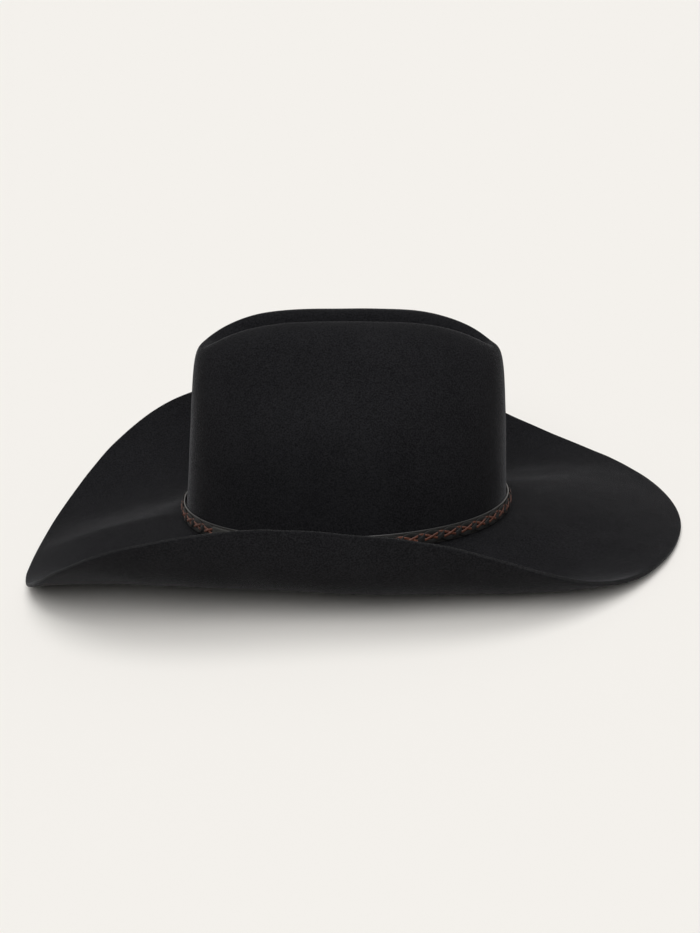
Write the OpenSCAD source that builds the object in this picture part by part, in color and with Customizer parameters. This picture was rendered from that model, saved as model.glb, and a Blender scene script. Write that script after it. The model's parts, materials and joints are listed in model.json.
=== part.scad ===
// Cowboy hat: blocked felt body with a braided band, sweatband and lining.
// Units are millimetres. +X is the back of the hat, -Y the wearer's left, +Z up.

/* [Head and crown] */
// Outside length of the crown where it meets the brim
crown_base_length = 209; // [190:1:225]
// Outside width of the crown where it meets the brim
crown_base_width = 173; // [158:1:192]
// Height of the break line at the back; the crests and the edge are measured from the same zero
break_back = 2; // [-6:0.1:8]
// Height of the break line at the sides
break_side = 1.3; // [-6:0.1:8]
// Height of the break line at the front
break_front = -4.9; // [-8:0.1:6]
// Height of the crests
crown_height = 127; // [100:1:150]
// Length of the ring formed by the crests
crest_length = 180; // [140:1:196]
// How far that ring sits behind the middle
crest_shift = 1.5; // [-8:0.5:8]
// Half the distance between the crests at mid length
crest_spread = 16.5; // [12:0.5:45]
// Extra half spread of the crests at the front
crest_front_spread = 8; // [-8:0.5:10]
// Drop of the crest ring at its ends
crest_end_drop = 18; // [5:0.5:40]
// How late the crest ring starts to drop
crest_drop_power = 3.6; // [1.5:0.1:6]
// Squareness of the crest ring in plan
crest_squareness = 4; // [2:0.1:6]
// Depth of the centre crease below the crests
crease_depth = 21; // [5:1:40]
// Length of the floor line of the centre crease
crease_length = 120; // [80:1:160]
// Height over which the wall stays nearly straight
wall_rise = 86; // [50:1:110]
// Inward lean of the wall at the sides in degrees
wall_lean = 3.8; // [0:0.1:12]
// Extra lean of the front wall, taken off the back wall
wall_lean_shift = 1.6; // [0:0.1:4]
// Share of the wall's inward travel spent in the shoulder
shoulder_share = 0.40; // [0.2:0.01:0.8]
// Smallest shoulder handle, at the crown's ends
shoulder_least = 9; // [3:0.5:20]
// Depth of the dent in each side of the crown
dent_depth = 6; // [0:0.5:15]
// Height of the middle of the side dents
dent_height = 98; // [70:1:115]
// How far ahead of the middle the side dents sit
dent_forward = 22; // [-20:1:50]
// Half length of the side dents
dent_reach = 48; // [20:1:80]
// Half height of the side dents
dent_rise = 22; // [10:1:40]

/* [Brim] */
// Edge reach straight back, control value
reach_000 = 218; // [190:1:240]
// Edge reach 22 degrees off the back
reach_022 = 212; // [190:1:240]
// Edge reach 45 degrees off the back
reach_045 = 207; // [170:1:240]
// Edge reach 67 degrees off the back
reach_067 = 177; // [150:1:220]
// Edge reach at the sides
reach_090 = 156; // [130:1:210]
// Edge reach 67 degrees off the front
reach_112 = 165; // [140:1:220]
// Edge reach 45 degrees off the front
reach_135 = 206; // [160:1:240]
// Edge reach 22 degrees off the front
reach_157 = 212; // [180:1:240]
// Edge reach straight ahead
reach_180 = 203; // [180:1:240]
// Edge height straight back, control value
rise_000 = -2; // [-50:1:50]
// Edge height 22 degrees off the back
rise_022 = 1; // [-50:1:50]
// Edge height 45 degrees off the back
rise_045 = 1; // [-50:1:60]
// Edge height 67 degrees off the back
rise_067 = 41; // [-20:1:80]
// Edge height at the sides
rise_090 = 43; // [-20:1:90]
// Edge height 67 degrees off the front
rise_112 = 47; // [-20:1:90]
// Edge height 45 degrees off the front
rise_135 = 29; // [-30:1:80]
// Edge height 22 degrees off the front
rise_157 = -29; // [-60:1:40]
// Edge height straight ahead
rise_180 = -37; // [-60:1:40]
// Turn of the brim section at the sides in degrees
roll_side = 125; // [0:1:160]
// Turn of the brim section at the front and back in degrees
roll_end = -16; // [-60:1:60]
// How quickly the turn fades towards the front
roll_fade_front = 1.2; // [0.8:0.1:4]
// How quickly the turn fades towards the back
roll_fade_back = 2; // [0.8:0.1:4]

/* [Felt] */
// Felt thickness
felt_thickness = 2.6; // [1.8:0.1:4]
// Bulge of the raw cut edge
edge_bulge = 0.5; // [0:0.1:1.2]

/* [Hatband] */
// Gap between the felt and the backing strap
band_clearance = 0.35; // [0.2:0.05:1]
// Height of the band's lower edge above the break line
band_foot = 0.9; // [0.3:0.1:4]
// Height of the backing strap
strap_height = 10; // [8:0.5:25]
// Thickness of the backing strap
strap_thickness = 0.9; // [0.6:0.1:2]
// Gap between small trim and what it lies on
trim_gap = 0.1; // [0.06:0.02:0.2]
// Full turns of the braid pattern around the crown
braid_turns = 24; // [16:1:36]
// Turn of the whole pattern around the crown, in degrees of the pattern
braid_lead = 20; // [0:5:85]
// Height from the braid's middle to a lace's middle at its highest
braid_swing = 3.1; // [2:0.1:5]
// Radial travel of a lace each way as it goes over and under
braid_weave = 0.74; // [0.5:0.02:1.2]
// Width of each lace
lace_width = 2.1; // [1.5:0.1:3]
// Thickness of each lace
lace_thickness = 0.6; // [0.4:0.05:1]
// Angle where the front tab starts
tab_start = 219.5; // [200:0.5:240]
// Angle where the rear tab ends
tab_end = 262; // [240:1:290]
// Thickness of the tabs
tab_thickness = 1.6; // [1:0.1:3]
// Cut on the outer corners of the tabs
tab_ease = 0.4; // [0.1:0.1:0.6]
// Width of the keeper along the band
keeper_width = 8.6; // [4:0.2:20]
// Thickness of the keeper
keeper_thickness = 0.9; // [0.6:0.1:2]
// Thickness of a stitch
stitch_thickness = 0.45; // [0.3:0.05:0.8]
// Width of a stitch
stitch_width = 0.5; // [0.3:0.05:0.8]
// Length of a stitch
stitch_length = 1.7; // [1:0.1:3]
// Distance from a tab's end to its row of stitches
tab_stitch_inset = 3.6; // [2:0.2:8]
// Distance between the stitches of that row
tab_stitch_pitch = 2.5; // [2:0.1:4]
// Thread tacks that hold the strap, spread evenly around the crown
tack_count = 6; // [3:1:12]

/* [Sweatband] */
// Height of the sweatband above the break line
sweatband_height = 50; // [30:1:60]
// Drop of the sweatband below the break line
sweatband_drop = 1.5; // [0.5:0.1:3]
// Gap between one inner layer and the next
layer_gap = 0.4; // [0.3:0.05:1]
// Thickness of the sweatband leather
sweatband_thickness = 1.0; // [0.6:0.1:2]
// Radius of the reed in the sweatband's lower edge
reed_radius = 0.9; // [0.6:0.1:1.5]
// Thickness of the tape folded over the reed
tape_thickness = 0.4; // [0.3:0.05:0.8]
// Height of the row of stitches that holds the sweatband
row_height = 2; // [1:0.5:6]
// Width of the patch over the sweatband's joint
patch_width = 20; // [10:1:40]
// Thickness of that patch
patch_thickness = 0.7; // [0.4:0.1:1.5]
// Distance from the sweatband's edges to the patch and from its edges to its stitches
patch_inset = 2; // [1:0.5:5]
// Distance between the patch's stitches
patch_stitch_pitch = 4.6; // [3:0.2:10]
// Height of the bow's middle above the break line
bow_height = 17; // [10:1:40]
// Width of the bow
bow_width = 30; // [20:1:45]
// Depth of a loop of the bow
loop_depth = 3; // [2:0.2:6]
// Height of the bow's ribbon
ribbon_height = 5; // [3:0.5:10]
// Thickness of the ribbon
ribbon_thickness = 0.5; // [0.3:0.1:0.8]
// Width of the wrap around the bow's middle
wrap_width = 1.8; // [1:0.1:6]
// Angle of the middle of the size tag
tag_angle = 18; // [12:1:60]
// Width of the size tag
tag_width = 11; // [5:0.5:20]
// Length of the size tag on the sweatband
tag_length = 14; // [5:0.5:20]
// Height by which the tag stands over the sweatband
tag_rise = 3; // [0:0.5:6]
// Thickness of the size tag
tag_thickness = 0.3; // [0.2:0.1:0.6]

/* [Lining] */
// Thickness of the lining cloth
lining_thickness = 0.5; // [0.3:0.05:1]
// Depth below the crests where the lining's side meets its tip
lining_seam_drop = 9; // [5:0.5:25]
// Radius of the piping over that seam
piping_radius = 0.8; // [0.5:0.1:1.5]

/* [Hidden] */

// Facets around the hat, and the half step that keeps it symmetric
around = 64;
step = 360 / around;
angles = [for (i = [0:around - 1]) (i + 0.5) * step];
nudge = 0.4;
slip = 0.004;
// Bezier handle of the crease, largest share of the half width that a dent takes,
// and how far back from the edge its direction is read
crease_handle = 0.45;
dent_limit = 0.5;
edge_sight = 0.03;
mean_radius = (crown_base_length + crown_base_width) / 4;

station_count = 8;
station_step = 180 / station_count;
reaches = [reach_000, reach_022, reach_045, reach_067, reach_090, reach_112, reach_135,
    reach_157, reach_180];
rises = [rise_000, rise_022, rise_045, rise_067, rise_090, rise_112, rise_135, rise_157,
    rise_180];

function unit(v) = v / norm(v);
function flat(v) = [v.x, v.y, 0];
// Chord over arc length of a section that turns through twice this many degrees
function chord_share(deg) = abs(deg) < 0.01 ? 1 : sin(deg) / (deg * PI / 180);
// Angle around the crown that a length takes up
function swept(length) = length / mean_radius * 180 / PI;
// Values after the first on the way from one to another in equal steps
function steps(from, to, n) = [for (i = [1:n]) from + (to - from) * i / n];
function bezier(p, q, r, s, t) =
    p * pow(1 - t, 3) + q * 3 * pow(1 - t, 2) * t + r * 3 * (1 - t) * t * t + s * t * t * t;
// Station number mirrored about the hat's centre plane
function mirrored(i) = let (m = (i % (2 * station_count) + 2 * station_count)
    % (2 * station_count)) m <= station_count ? m : 2 * station_count - m;
// Smooth value between stations
function spline(list, a) = let (u = a / station_step, i = floor(u), t = u - i)
    (list[mirrored(i - 1)] * pow(1 - t, 3)
    + list[mirrored(i)] * (3 * pow(t, 3) - 6 * t * t + 4)
    + list[mirrored(i + 1)] * (-3 * pow(t, 3) + 3 * t * t + 3 * t + 1)
    + list[mirrored(i + 2)] * pow(t, 3)) / 6;

// Break line between crown and brim
function break_height(a) = break_side * pow(sin(a), 2)
    + (break_back + break_front) / 2 * pow(cos(a), 2) + (break_back - break_front) / 2 * cos(a);
function break_point(a) = [crown_base_length / 2 * cos(a), crown_base_width / 2 * sin(a),
    break_height(a)];
function edge_point(a) = let (r = spline(reaches, a))
    [r * cos(a), r * sin(a), spline(rises, a)];
// Brim top surface, v from 0 at the break to 1 at the edge
function brim_turn(a) = roll_end + (roll_side - roll_end)
    * pow(abs(sin(a)), cos(a) < 0 ? roll_fade_front : roll_fade_back);
function brim(a, v) = let (foot = break_point(a), run = edge_point(a) - foot,
    out = norm(flat(run)), turn = brim_turn(a),
    chord = norm(run), len = chord / chord_share(turn / 2) * v * chord_share(turn * v / 2),
    tilt = atan2(run.z, out) - turn / 2 + turn * v / 2)
    foot + flat(run) / out * len * cos(tilt) + [0, 0, len * sin(tilt)];

// Ring of the crests
function ring_share(a) = pow(pow(abs(cos(a)), crest_squareness)
    + pow(abs(sin(a)), crest_squareness), -1 / crest_squareness);
function crest(a) = let (k = ring_share(a))
    [crest_shift + crest_length / 2 * cos(a) * k,
    (crest_spread + crest_front_spread * pow(max(0, -cos(a)), 2)) * sin(a) * k,
    crown_height - crest_end_drop * pow(abs(cos(a) * k), crest_drop_power)];
function crease_line(a) = [crest_shift + crease_length / 2 * cos(a) * ring_share(a), 0,
    crown_height - crease_depth];
function dent(p) = dent_depth * exp(-pow((p.x + dent_forward) / dent_reach, 2)
    - pow((p.z - dent_height) / dent_rise, 2));
// Crown wall outside, t from 0 at the break to 1 on the crest
function wall(a, t) = let (foot = break_point(a), top = crest(a), run = flat(foot - top),
    away = norm(run), dir = run / away,
    handle = sqrt(pow(shoulder_least, 2) + pow(shoulder_share * away, 2)),
    p = bezier(foot, foot + [0, 0, wall_rise]
        - dir * wall_rise * tan(wall_lean - wall_lean_shift * cos(a)),
        top + dir * handle, top, t))
    [p.x, p.y - sign(sin(a)) * min(dent(p), abs(p.y) * dent_limit), p.z];
// Height of the wall's share t, and the share at a height
function wall_height(t) = wall_rise * 3 * t * pow(1 - t, 2) + crown_height * t * t * (3 - 2 * t);
function share_at(h, t = 0.3, turns = 7) = turns == 0 ? t : share_at(h, t - (wall_height(t) - h)
    / (wall_rise * 3 * (1 - t) * (1 - 3 * t) + crown_height * 6 * t * (1 - t)), turns - 1);
// Crown top from the crest (0) down to the crease line (1)
function crease(a, s) = let (top = crest(a), low = crease_line(a), run = flat(low - top))
    bezier(top - [0, sign(sin(a)) * min(dent(top), abs(top.y) * dent_limit), 0],
        top + run * crease_handle, low - run * crease_handle, low, s);

// Outward normals of the three surfaces
function wall_normal(a, t) = unit(cross(wall(a + nudge, t) - wall(a - nudge, t),
    wall(a, min(1, t + slip)) - wall(a, max(0, t - slip))));
function brim_normal(a, v) = unit(cross(brim(a, min(1, v + slip)) - brim(a, max(0, v - slip)),
    brim(a + nudge, v) - brim(a - nudge, v)));
function crease_normal(a, s) = let (run = unit(flat(crease_line(a) - crest(a))),
    d = crease(a, min(1, s + slip)) - crease(a, max(0, s - slip)), c = d * run)
    unit(c * [0, 0, 1] - d.z * run);
// The same surfaces, moved inward or downward by a depth
function wall_in(a, t, d) = wall(a, t) - wall_normal(a, t) * d;
function brim_in(a, v, d) = brim(a, v) - brim_normal(a, v) * d;
function crease_in(a, s, d) = crease(a, s) - (s > 0.99 ? [0, 0, 1] : crease_normal(a, s)) * d;
function outward(a) = unit([cos(a) / crown_base_length, sin(a) / crown_base_width, 0]);
function corner_in(a, d) = break_point(a) - unit(outward(a) + brim_normal(a, 0)) * d;

// Sweep of equal closed rings of points into one closed solid around the hat
module hoop(rings) {
    n = len(rings);
    m = len(rings[0]);
    polyhedron([for (r = rings) each r],
        [for (i = [0:n - 1], j = [0:m - 1]) let (k = (i + 1) % n, l = (j + 1) % m)
            each [[i * m + j, k * m + j, k * m + l], [i * m + j, k * m + l, i * m + l]]],
        convexity = 10);
}

// Sweep of closed rings whose second half runs back along the first, with a cap at each end
module bar(rings) {
    n = len(rings);
    m = len(rings[0]);
    last = (n - 1) * m;
    strip = [for (j = [0:m / 2 - 2]) each [[j, j + 1, m - 2 - j], [j, m - 2 - j, m - 1 - j]]];
    polyhedron([for (r = rings) each r],
        concat(strip, [for (f = strip) [last + f[2], last + f[1], last + f[0]]],
            [for (i = [0:n - 2], j = [0:m - 1]) let (l = (j + 1) % m)
                each [[i * m + j, (i + 1) * m + j, (i + 1) * m + l],
                    [i * m + j, (i + 1) * m + l, i * m + l]]]),
        convexity = 10);
}

// Closed skin from rings that run from one crease line to another
module skin(rings, first_line, last_line) {
    n = len(rings);
    m = around;
    half = m / 2;
    points = concat([for (r = rings) each r], first_line, last_line);
    top = n * m;
    low = top + half;
    function pole(base, j) = base + (j < half ? j : m - 1 - j);
    function line_faces(base, ring, turn) = [for (j = [0:m - 1]) let (l = (j + 1) % m,
        p = pole(base, j), q = pole(base, l), a = ring * m + j, b = ring * m + l)
        each (p == q ? [turn ? [p, a, b] : [p, b, a]]
            : turn ? [[p, a, b], [p, b, q]] : [[p, b, a], [p, q, b]])];
    polyhedron(points, concat(line_faces(top, 0, false),
        [for (i = [0:n - 2], j = [0:m - 1]) let (l = (j + 1) % m)
            each [[i * m + j, (i + 1) * m + l, (i + 1) * m + j],
                [i * m + j, i * m + l, (i + 1) * m + l]]],
        line_faces(low, n - 1, true)), convexity = 10);
}

// Points of a profile given as [outward offset, height] pairs at one angle
function band_ring(a, profile) = let (foot = break_point(a), dir = outward(a))
    [for (q = profile) foot + dir * q[0] + [0, 0, q[1]]];
function box_profile(inner, outer, low, high) =
    [[inner, low], [inner, high], [outer, high], [outer, low]];
// A profile with its outer corners cut off
function eased_profile(inner, outer, low, high, cut) = [[inner, low], [inner, high],
    [outer - cut, high], [outer, high - cut], [outer, low + cut], [outer - cut, low]];
// Ring of a layer that lies on the inside of the crown wall
function lining_ring(a, shares, near, far, drop) = concat(
    drop > 0 ? [wall_in(a, 0, far) - [0, 0, drop]] : [],
    [for (t = shares) wall_in(a, t, far)],
    [for (i = [len(shares) - 1:-1:0]) wall_in(a, shares[i], near)],
    drop > 0 ? [wall_in(a, 0, near) - [0, 0, drop]] : []);

// Stations up the crown and across the brim; every layer inside the crown shares them
brim_steps = 9;
brim_shares = steps(0, 1, brim_steps);
crease_shares = [0.72, 0.45, 0.2];
sweatband_top = share_at(sweatband_height);
lining_seam = share_at(crown_height - lining_seam_drop);
tip_shares = concat([1], steps(1, lining_seam, 3));
side_shares = steps(lining_seam, sweatband_top, 5);
foot_shares = steps(sweatband_top, 0, 2);
wall_shares = concat(tip_shares, side_shares, foot_shares);

band_top = band_foot + strap_height;
band_mid = band_foot + strap_height / 2;
band_outer = band_clearance + strap_thickness;
lace_mid = band_outer + trim_gap + braid_weave + lace_thickness / 2;
// Stations of half a turn of a lace, and the side of each edge there: over 1, under -1
lace_stops = [0, 18, 45, 90, 135, 162];
first_edge = [1, -1, -1, 0, 1, 1];
second_edge = [1, 1, -1, 0, 1, -1];
tab_joint = (tab_start + tab_end) / 2;
tab_half_height = braid_swing + lace_width / 2;
tab_inner = band_outer + trim_gap;
tab_outer = tab_inner + tab_thickness;

lining_near = felt_thickness + layer_gap;
lining_far = lining_near + lining_thickness;
sweatband_near = lining_far + layer_gap;
sweatband_far = sweatband_near + sweatband_thickness;
reed_depth = (sweatband_near + sweatband_far) / 2;
reed_drop = sweatband_drop + reed_radius + trim_gap;
patch_near = sweatband_far + layer_gap;
patch_far = patch_near + patch_thickness;
bow_depth = patch_far + stitch_thickness + 3 * layer_gap;

// The hat leans back until its front and back edges both meet the ground
front_low = brim_in(180 - step / 2, 1, felt_thickness);
back_low = brim_in(step / 2, 1, felt_thickness);
pitch = atan2(back_low.z - front_low.z, back_low.x - front_low.x);
function leaned(p) = [p.x * cos(pitch) + p.z * sin(pitch), p.y,
    p.z * cos(pitch) - p.x * sin(pitch)];
ground = leaned(front_low).z;
centre_x = (leaned(front_low).x + leaned(back_low).x) / 2;
module rest() {
    translate([-centre_x, 0, -ground]) rotate([0, pitch, 0]) children();
}

// Crown and brim, one blocked piece of felt
module felt_body() {
    d = felt_thickness;
    rings = concat(
        [for (s = crease_shares) [for (a = angles) crease(a, s)]],
        [for (t = wall_shares) [for (a = angles) wall(a, t)]],
        [for (v = brim_shares) [for (a = angles) brim(a, v)]],
        [[for (a = angles) brim_in(a, 1, d / 2) + unit(brim(a, 1) - brim(a, 1 - edge_sight)) * edge_bulge]],
        [for (i = [brim_steps - 1:-1:0]) [for (a = angles) brim_in(a, brim_shares[i], d)]],
        [[for (a = angles) corner_in(a, d)]],
        [for (i = [len(wall_shares) - 1:-1:0]) [for (a = angles) wall_in(a, wall_shares[i], d)]],
        [for (i = [len(crease_shares) - 1:-1:0])
            [for (a = angles) crease_in(a, crease_shares[i], d)]]);
    line = [for (i = [0:around / 2 - 1]) crease_line(angles[i])];
    color("#1d1d20") rest() skin(rings, line, [for (p = line) p - [0, 0, d]]);
}

// Thin strap that backs the braid
module hatband_strap() {
    profile = box_profile(band_clearance, band_outer, band_foot, band_top);
    color("#2b2827") rest() hoop([for (a = angles) band_ring(a, profile)]);
}

// One lace of the braid, shifted along the pattern by a phase. Another lace crosses it at
// 0, 45 and 135 degrees of each half turn. Its edges change sides one after the other.
module lace(phase) {
    first = floor((tab_end * braid_turns + phase) / 180);
    last = ceil(((tab_start + 360) * braid_turns + phase) / 180);
    slope = braid_swing * braid_turns / mean_radius;
    t = lace_thickness / 2;
    bar([for (k = [first:last], i = [0:len(lace_stops) - 1]) let (f = 180 * k + lace_stops[i],
        a = (f - phase) / braid_turns, mid = band_mid + braid_swing * sin(f),
        half = lace_width / 2 * sqrt(1 + pow(slope * cos(f), 2)), rising = k % 2 == 0,
        high = lace_mid + braid_weave * (rising ? first_edge[i] : -second_edge[i]),
        low = lace_mid + braid_weave * (rising ? second_edge[i] : -first_edge[i]))
        if (a > tab_end && a < tab_start + 360)
            band_ring(a, [[low - t, mid - half], [high - t, mid + half],
                [high + t, mid + half], [low + t, mid - half]])]);
}
module braid_brown_1() { color("#7a3b22") rest() lace(braid_lead); }
module braid_brown_2() { color("#7a3b22") rest() lace(braid_lead + 180); }
module braid_black_1() { color("#1c1a1a") rest() lace(braid_lead + 90); }
module braid_black_2() { color("#1c1a1a") rest() lace(braid_lead + 270); }

// Smooth tab between two angles
module tab(from, to) {
    profile = eased_profile(tab_inner, tab_outer, band_mid - tab_half_height,
        band_mid + tab_half_height, tab_ease);
    bar([for (a = concat([from], steps(from, to, 6))) band_ring(a, profile)]);
}
module hatband_tab_front() { color("#2b2827") rest() tab(tab_start, tab_joint - swept(trim_gap)); }
module hatband_tab_rear() { color("#2b2827") rest() tab(tab_joint + swept(trim_gap), tab_end); }

// Loop that bridges the joint of the tabs
module hatband_keeper() {
    low = band_mid - tab_half_height - trim_gap;
    high = band_mid + tab_half_height + trim_gap;
    inner = tab_inner + trim_gap;
    reach = tab_outer + trim_gap;
    t = keeper_thickness;
    profile = [[inner, low], [reach, low], [reach, high], [inner, high],
        [inner, high + t], [reach + t, high + t], [reach + t, low - t], [inner, low - t]];
    color("#262322") rest() bar([for (i = [-1:1])
        band_ring(tab_joint + swept(keeper_width / 2) * i, profile)]);
}

// Short thread lying on the band at an angle: width, offset range and height range
module band_thread(a, width, inner, outer, low, high) {
    bar([for (i = [-1, 1]) band_ring(a + swept(width / 2) * i,
        box_profile(inner, outer, low, high))]);
}
module tab_stitches() {
    inner = tab_outer + trim_gap;
    inset = swept(tab_stitch_inset);
    color("#0f0f10") rest()
        for (a = [tab_start + inset, tab_end - inset], i = [-1:1])
            let (mid = band_mid + i * tab_stitch_pitch)
                band_thread(a, stitch_width, inner, inner + stitch_thickness,
                    mid - stitch_length / 2, mid + stitch_length / 2);
}

// Thread tacks over the strap's top edge, clear of the tabs
module band_tacks() {
    color("#0f0f10") rest()
        for (i = [0:tack_count - 1]) let (a = 360 / tack_count * (i + 0.5))
            if (a < tab_start || a > tab_end + swept(stitch_length))
                band_thread(a, stitch_width, band_clearance - trim_gap, band_outer,
                    band_top + trim_gap, band_top + trim_gap + stitch_thickness);
}

module sweatband() {
    shares = [0, foot_shares[0], sweatband_top];
    color("#3a2a20") rest() hoop([for (a = angles)
        lining_ring(a, shares, sweatband_near, sweatband_far, sweatband_drop)]);
}

// Middle of the reed, and a point around it
function reed_point(a, radius, turn) = wall_in(a, 0, reed_depth) - [0, 0, reed_drop]
    + outward(a) * radius * cos(turn) + [0, 0, radius * sin(turn)];
// Round cord in the fold at the lower edge of the sweatband
module sweatband_reed() {
    color("#d8d6cf") rest() hoop([for (a = angles)
        [for (i = [5:-1:0]) reed_point(a, reed_radius, 60 * i)]]);
}
// Tape folded under the reed
module reed_tape() {
    near = reed_radius + trim_gap;
    far = near + tape_thickness;
    color("#26211e") rest() hoop([for (a = angles)
        concat([for (i = [0:3]) reed_point(a, near, 180 + 60 * i)],
            [for (i = [3:-1:0]) reed_point(a, far, 180 + 60 * i)])]);
}

// Thread on an inner layer: angle, angle range, height range and depth of its seat
module inner_thread(a, width, low, high, seat) {
    near = seat + layer_gap;
    bar([for (i = [-1, 1]) lining_ring(a + swept(width / 2) * i, [share_at(low), share_at(high)],
        near, near + stitch_thickness, 0)]);
}
module sweatband_stitches() {
    color("#8a7a66") rest()
        for (a = angles) if (abs(a - 180) < 180 - swept(patch_width / 2 + stitch_length))
            inner_thread(a, stitch_length, row_height, row_height + stitch_width, sweatband_far);
}

// Patch that covers the joint of the sweatband at the back
module seam_patch() {
    low = patch_inset;
    high = sweatband_height - patch_inset;
    color("#33251c") rest() bar([for (i = [-2:2]) lining_ring(swept(patch_width / 4) * i,
        [for (h = concat([low], steps(low, high, 3))) share_at(h)], patch_near, patch_far, 0)]);
}
module seam_patch_stitches() {
    first = 2 * patch_inset;
    last = sweatband_height - 2 * patch_inset - stitch_length;
    color("#8a7a66") rest()
        for (side = [-1, 1], low = [first:patch_stitch_pitch:last])
            inner_thread(side * swept(patch_width / 2 - patch_inset), stitch_width, low,
                low + stitch_length, patch_far);
}

// Flat ribbon folded into two loops, and the wrap that holds it
bow_front = wall_in(0, share_at(bow_height), bow_depth);
module bow_place() {
    rest() translate([bow_front.x - loop_depth / 2, 0, bow_front.z]) rotate([0, -wall_lean, 0])
        children();
}
module bow_ribbon() {
    loop = [loop_depth / 2, (bow_width / 2 - wrap_width / 2 - trim_gap) / 2];
    color("#1a1a1c") bow_place() translate([0, 0, -ribbon_height / 2])
        linear_extrude(ribbon_height) for (side = [-1, 1])
            translate([0, side * (bow_width / 2 - loop.y)]) difference() {
                scale(loop) circle(1, $fn = 28);
                scale([loop.x - ribbon_thickness, loop.y - ribbon_thickness]) circle(1, $fn = 28);
            }
}
module bow_wrap() {
    color("#1a1a1c") bow_place()
        cube([loop_depth, wrap_width, ribbon_height + 2 * ribbon_thickness], center = true);
}

// Blank size tag on the sweatband's inner face, standing over its top edge
module size_tag() {
    low = sweatband_height + tag_rise - tag_length;
    near = sweatband_far + layer_gap;
    color("#d9d4c6") rest() bar([for (i = [-1:1]) lining_ring(tag_angle + swept(tag_width / 2) * i,
        [for (h = concat([low], steps(low, low + tag_length, 3))) share_at(h)],
        near, near + tag_thickness, 0)]);
}

// Side of the lining, from half way up behind the sweatband to the tip
module lining_side() {
    shares = concat([foot_shares[0], sweatband_top], steps(sweatband_top, lining_seam, 5));
    color("#2a2a2e") rest() hoop([for (a = angles)
        lining_ring(a, shares, lining_near, lining_far, 0)]);
}

// Tip of the lining, over the crests and down into the crease
module lining_tip() {
    shares = [tip_shares[0], tip_shares[1], tip_shares[2], lining_seam + 2 * slip];
    rings = concat(
        [for (s = crease_shares) [for (a = angles) crease_in(a, s, lining_near)]],
        [for (t = shares) [for (a = angles) wall_in(a, t, lining_near)]],
        [for (i = [3:-1:0]) [for (a = angles) wall_in(a, shares[i], lining_far)]],
        [for (i = [2:-1:0]) [for (a = angles) crease_in(a, crease_shares[i], lining_far)]]);
    line = [for (i = [0:around / 2 - 1]) crease_line(angles[i])];
    color("#2a2a2e") rest() skin(rings, [for (p = line) p - [0, 0, lining_near]],
        [for (p = line) p - [0, 0, lining_far]]);
}

// Cord laid over the seam of the lining
module lining_piping() {
    color("#3a3a40") rest() hoop([for (a = angles) let (in = -wall_normal(a, lining_seam + slip),
        mid = wall_in(a, lining_seam + slip, lining_far + layer_gap / 2 + piping_radius))
        [for (i = [0:5]) mid + in * piping_radius * cos(60 * i)
            + [0, 0, piping_radius * sin(60 * i)]]]);
}
module lining_stitches() {
    high = crown_height - lining_seam_drop - 2 * piping_radius;
    color("#0f0f10") rest() for (i = [0:2:around - 1])
        inner_thread(angles[i], stitch_length, high - stitch_width, high, lining_far);
}

felt_body();
hatband_strap();
braid_brown_1();
braid_brown_2();
braid_black_1();
braid_black_2();
hatband_tab_front();
hatband_tab_rear();
hatband_keeper();
tab_stitches();
band_tacks();
sweatband();
sweatband_reed();
reed_tape();
sweatband_stitches();
seam_patch();
seam_patch_stitches();
bow_ribbon();
bow_wrap();
size_tag();
lining_side();
lining_tip();
lining_piping();
lining_stitches();
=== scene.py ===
"""Looks of a creased felt cowboy hat with a braided leather band.

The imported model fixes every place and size. The shapes here are the same ones drawn
finer, with the stitches, folds and finishes of the real materials.
"""

import functools
import json
import logging
import math
from collections.abc import Sequence
from dataclasses import dataclass
from enum import Enum

import bmesh
import bpy
from mathutils import Matrix, Vector, noise

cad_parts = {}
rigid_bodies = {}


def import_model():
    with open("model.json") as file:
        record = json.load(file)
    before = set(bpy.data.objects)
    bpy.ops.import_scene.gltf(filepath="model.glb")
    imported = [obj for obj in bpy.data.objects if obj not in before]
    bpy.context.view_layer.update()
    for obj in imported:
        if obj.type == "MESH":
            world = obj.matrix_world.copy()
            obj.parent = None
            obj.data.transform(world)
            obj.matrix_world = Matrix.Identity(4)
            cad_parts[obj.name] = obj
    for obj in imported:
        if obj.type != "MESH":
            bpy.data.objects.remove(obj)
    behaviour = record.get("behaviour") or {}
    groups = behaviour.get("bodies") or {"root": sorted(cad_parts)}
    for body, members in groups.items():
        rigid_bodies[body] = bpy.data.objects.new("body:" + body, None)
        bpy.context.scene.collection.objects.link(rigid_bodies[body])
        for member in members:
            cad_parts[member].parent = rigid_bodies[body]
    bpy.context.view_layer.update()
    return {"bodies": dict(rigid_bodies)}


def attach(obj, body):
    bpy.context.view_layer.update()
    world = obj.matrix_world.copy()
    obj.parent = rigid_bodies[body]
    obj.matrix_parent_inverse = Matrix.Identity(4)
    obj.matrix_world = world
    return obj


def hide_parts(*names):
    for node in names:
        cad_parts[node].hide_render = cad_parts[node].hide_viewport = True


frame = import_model()
BODY = next(iter(frame["bodies"]))
LOG = logging.getLogger("cowboy_hat")
MM = 0.001
# Sections of a piece that runs right round the crown.
STATIONS = 192
# Sharpness of an edge, in degrees, from which it is rounded, and the steps of the rounding.
SHARP = 60.0
ROUND_STEPS = 3


def linear(colour: str) -> tuple[float, float, float, float]:
    """Turn a colour as written on a swatch into the renderer's own values.

    Args:
        colour: Hex colour in sRGB, such as "#1d1d20".

    Returns:
        Linear red, green, blue and an alpha of one.
    """
    parts = [int(colour[i:i + 2], 16) / 255 for i in (1, 3, 5)]
    red, green, blue = (
        c / 12.92 if c <= 0.04045 else ((c + 0.055) / 1.055) ** 2.4 for c in parts
    )
    return (red, green, blue, 1.0)


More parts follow.
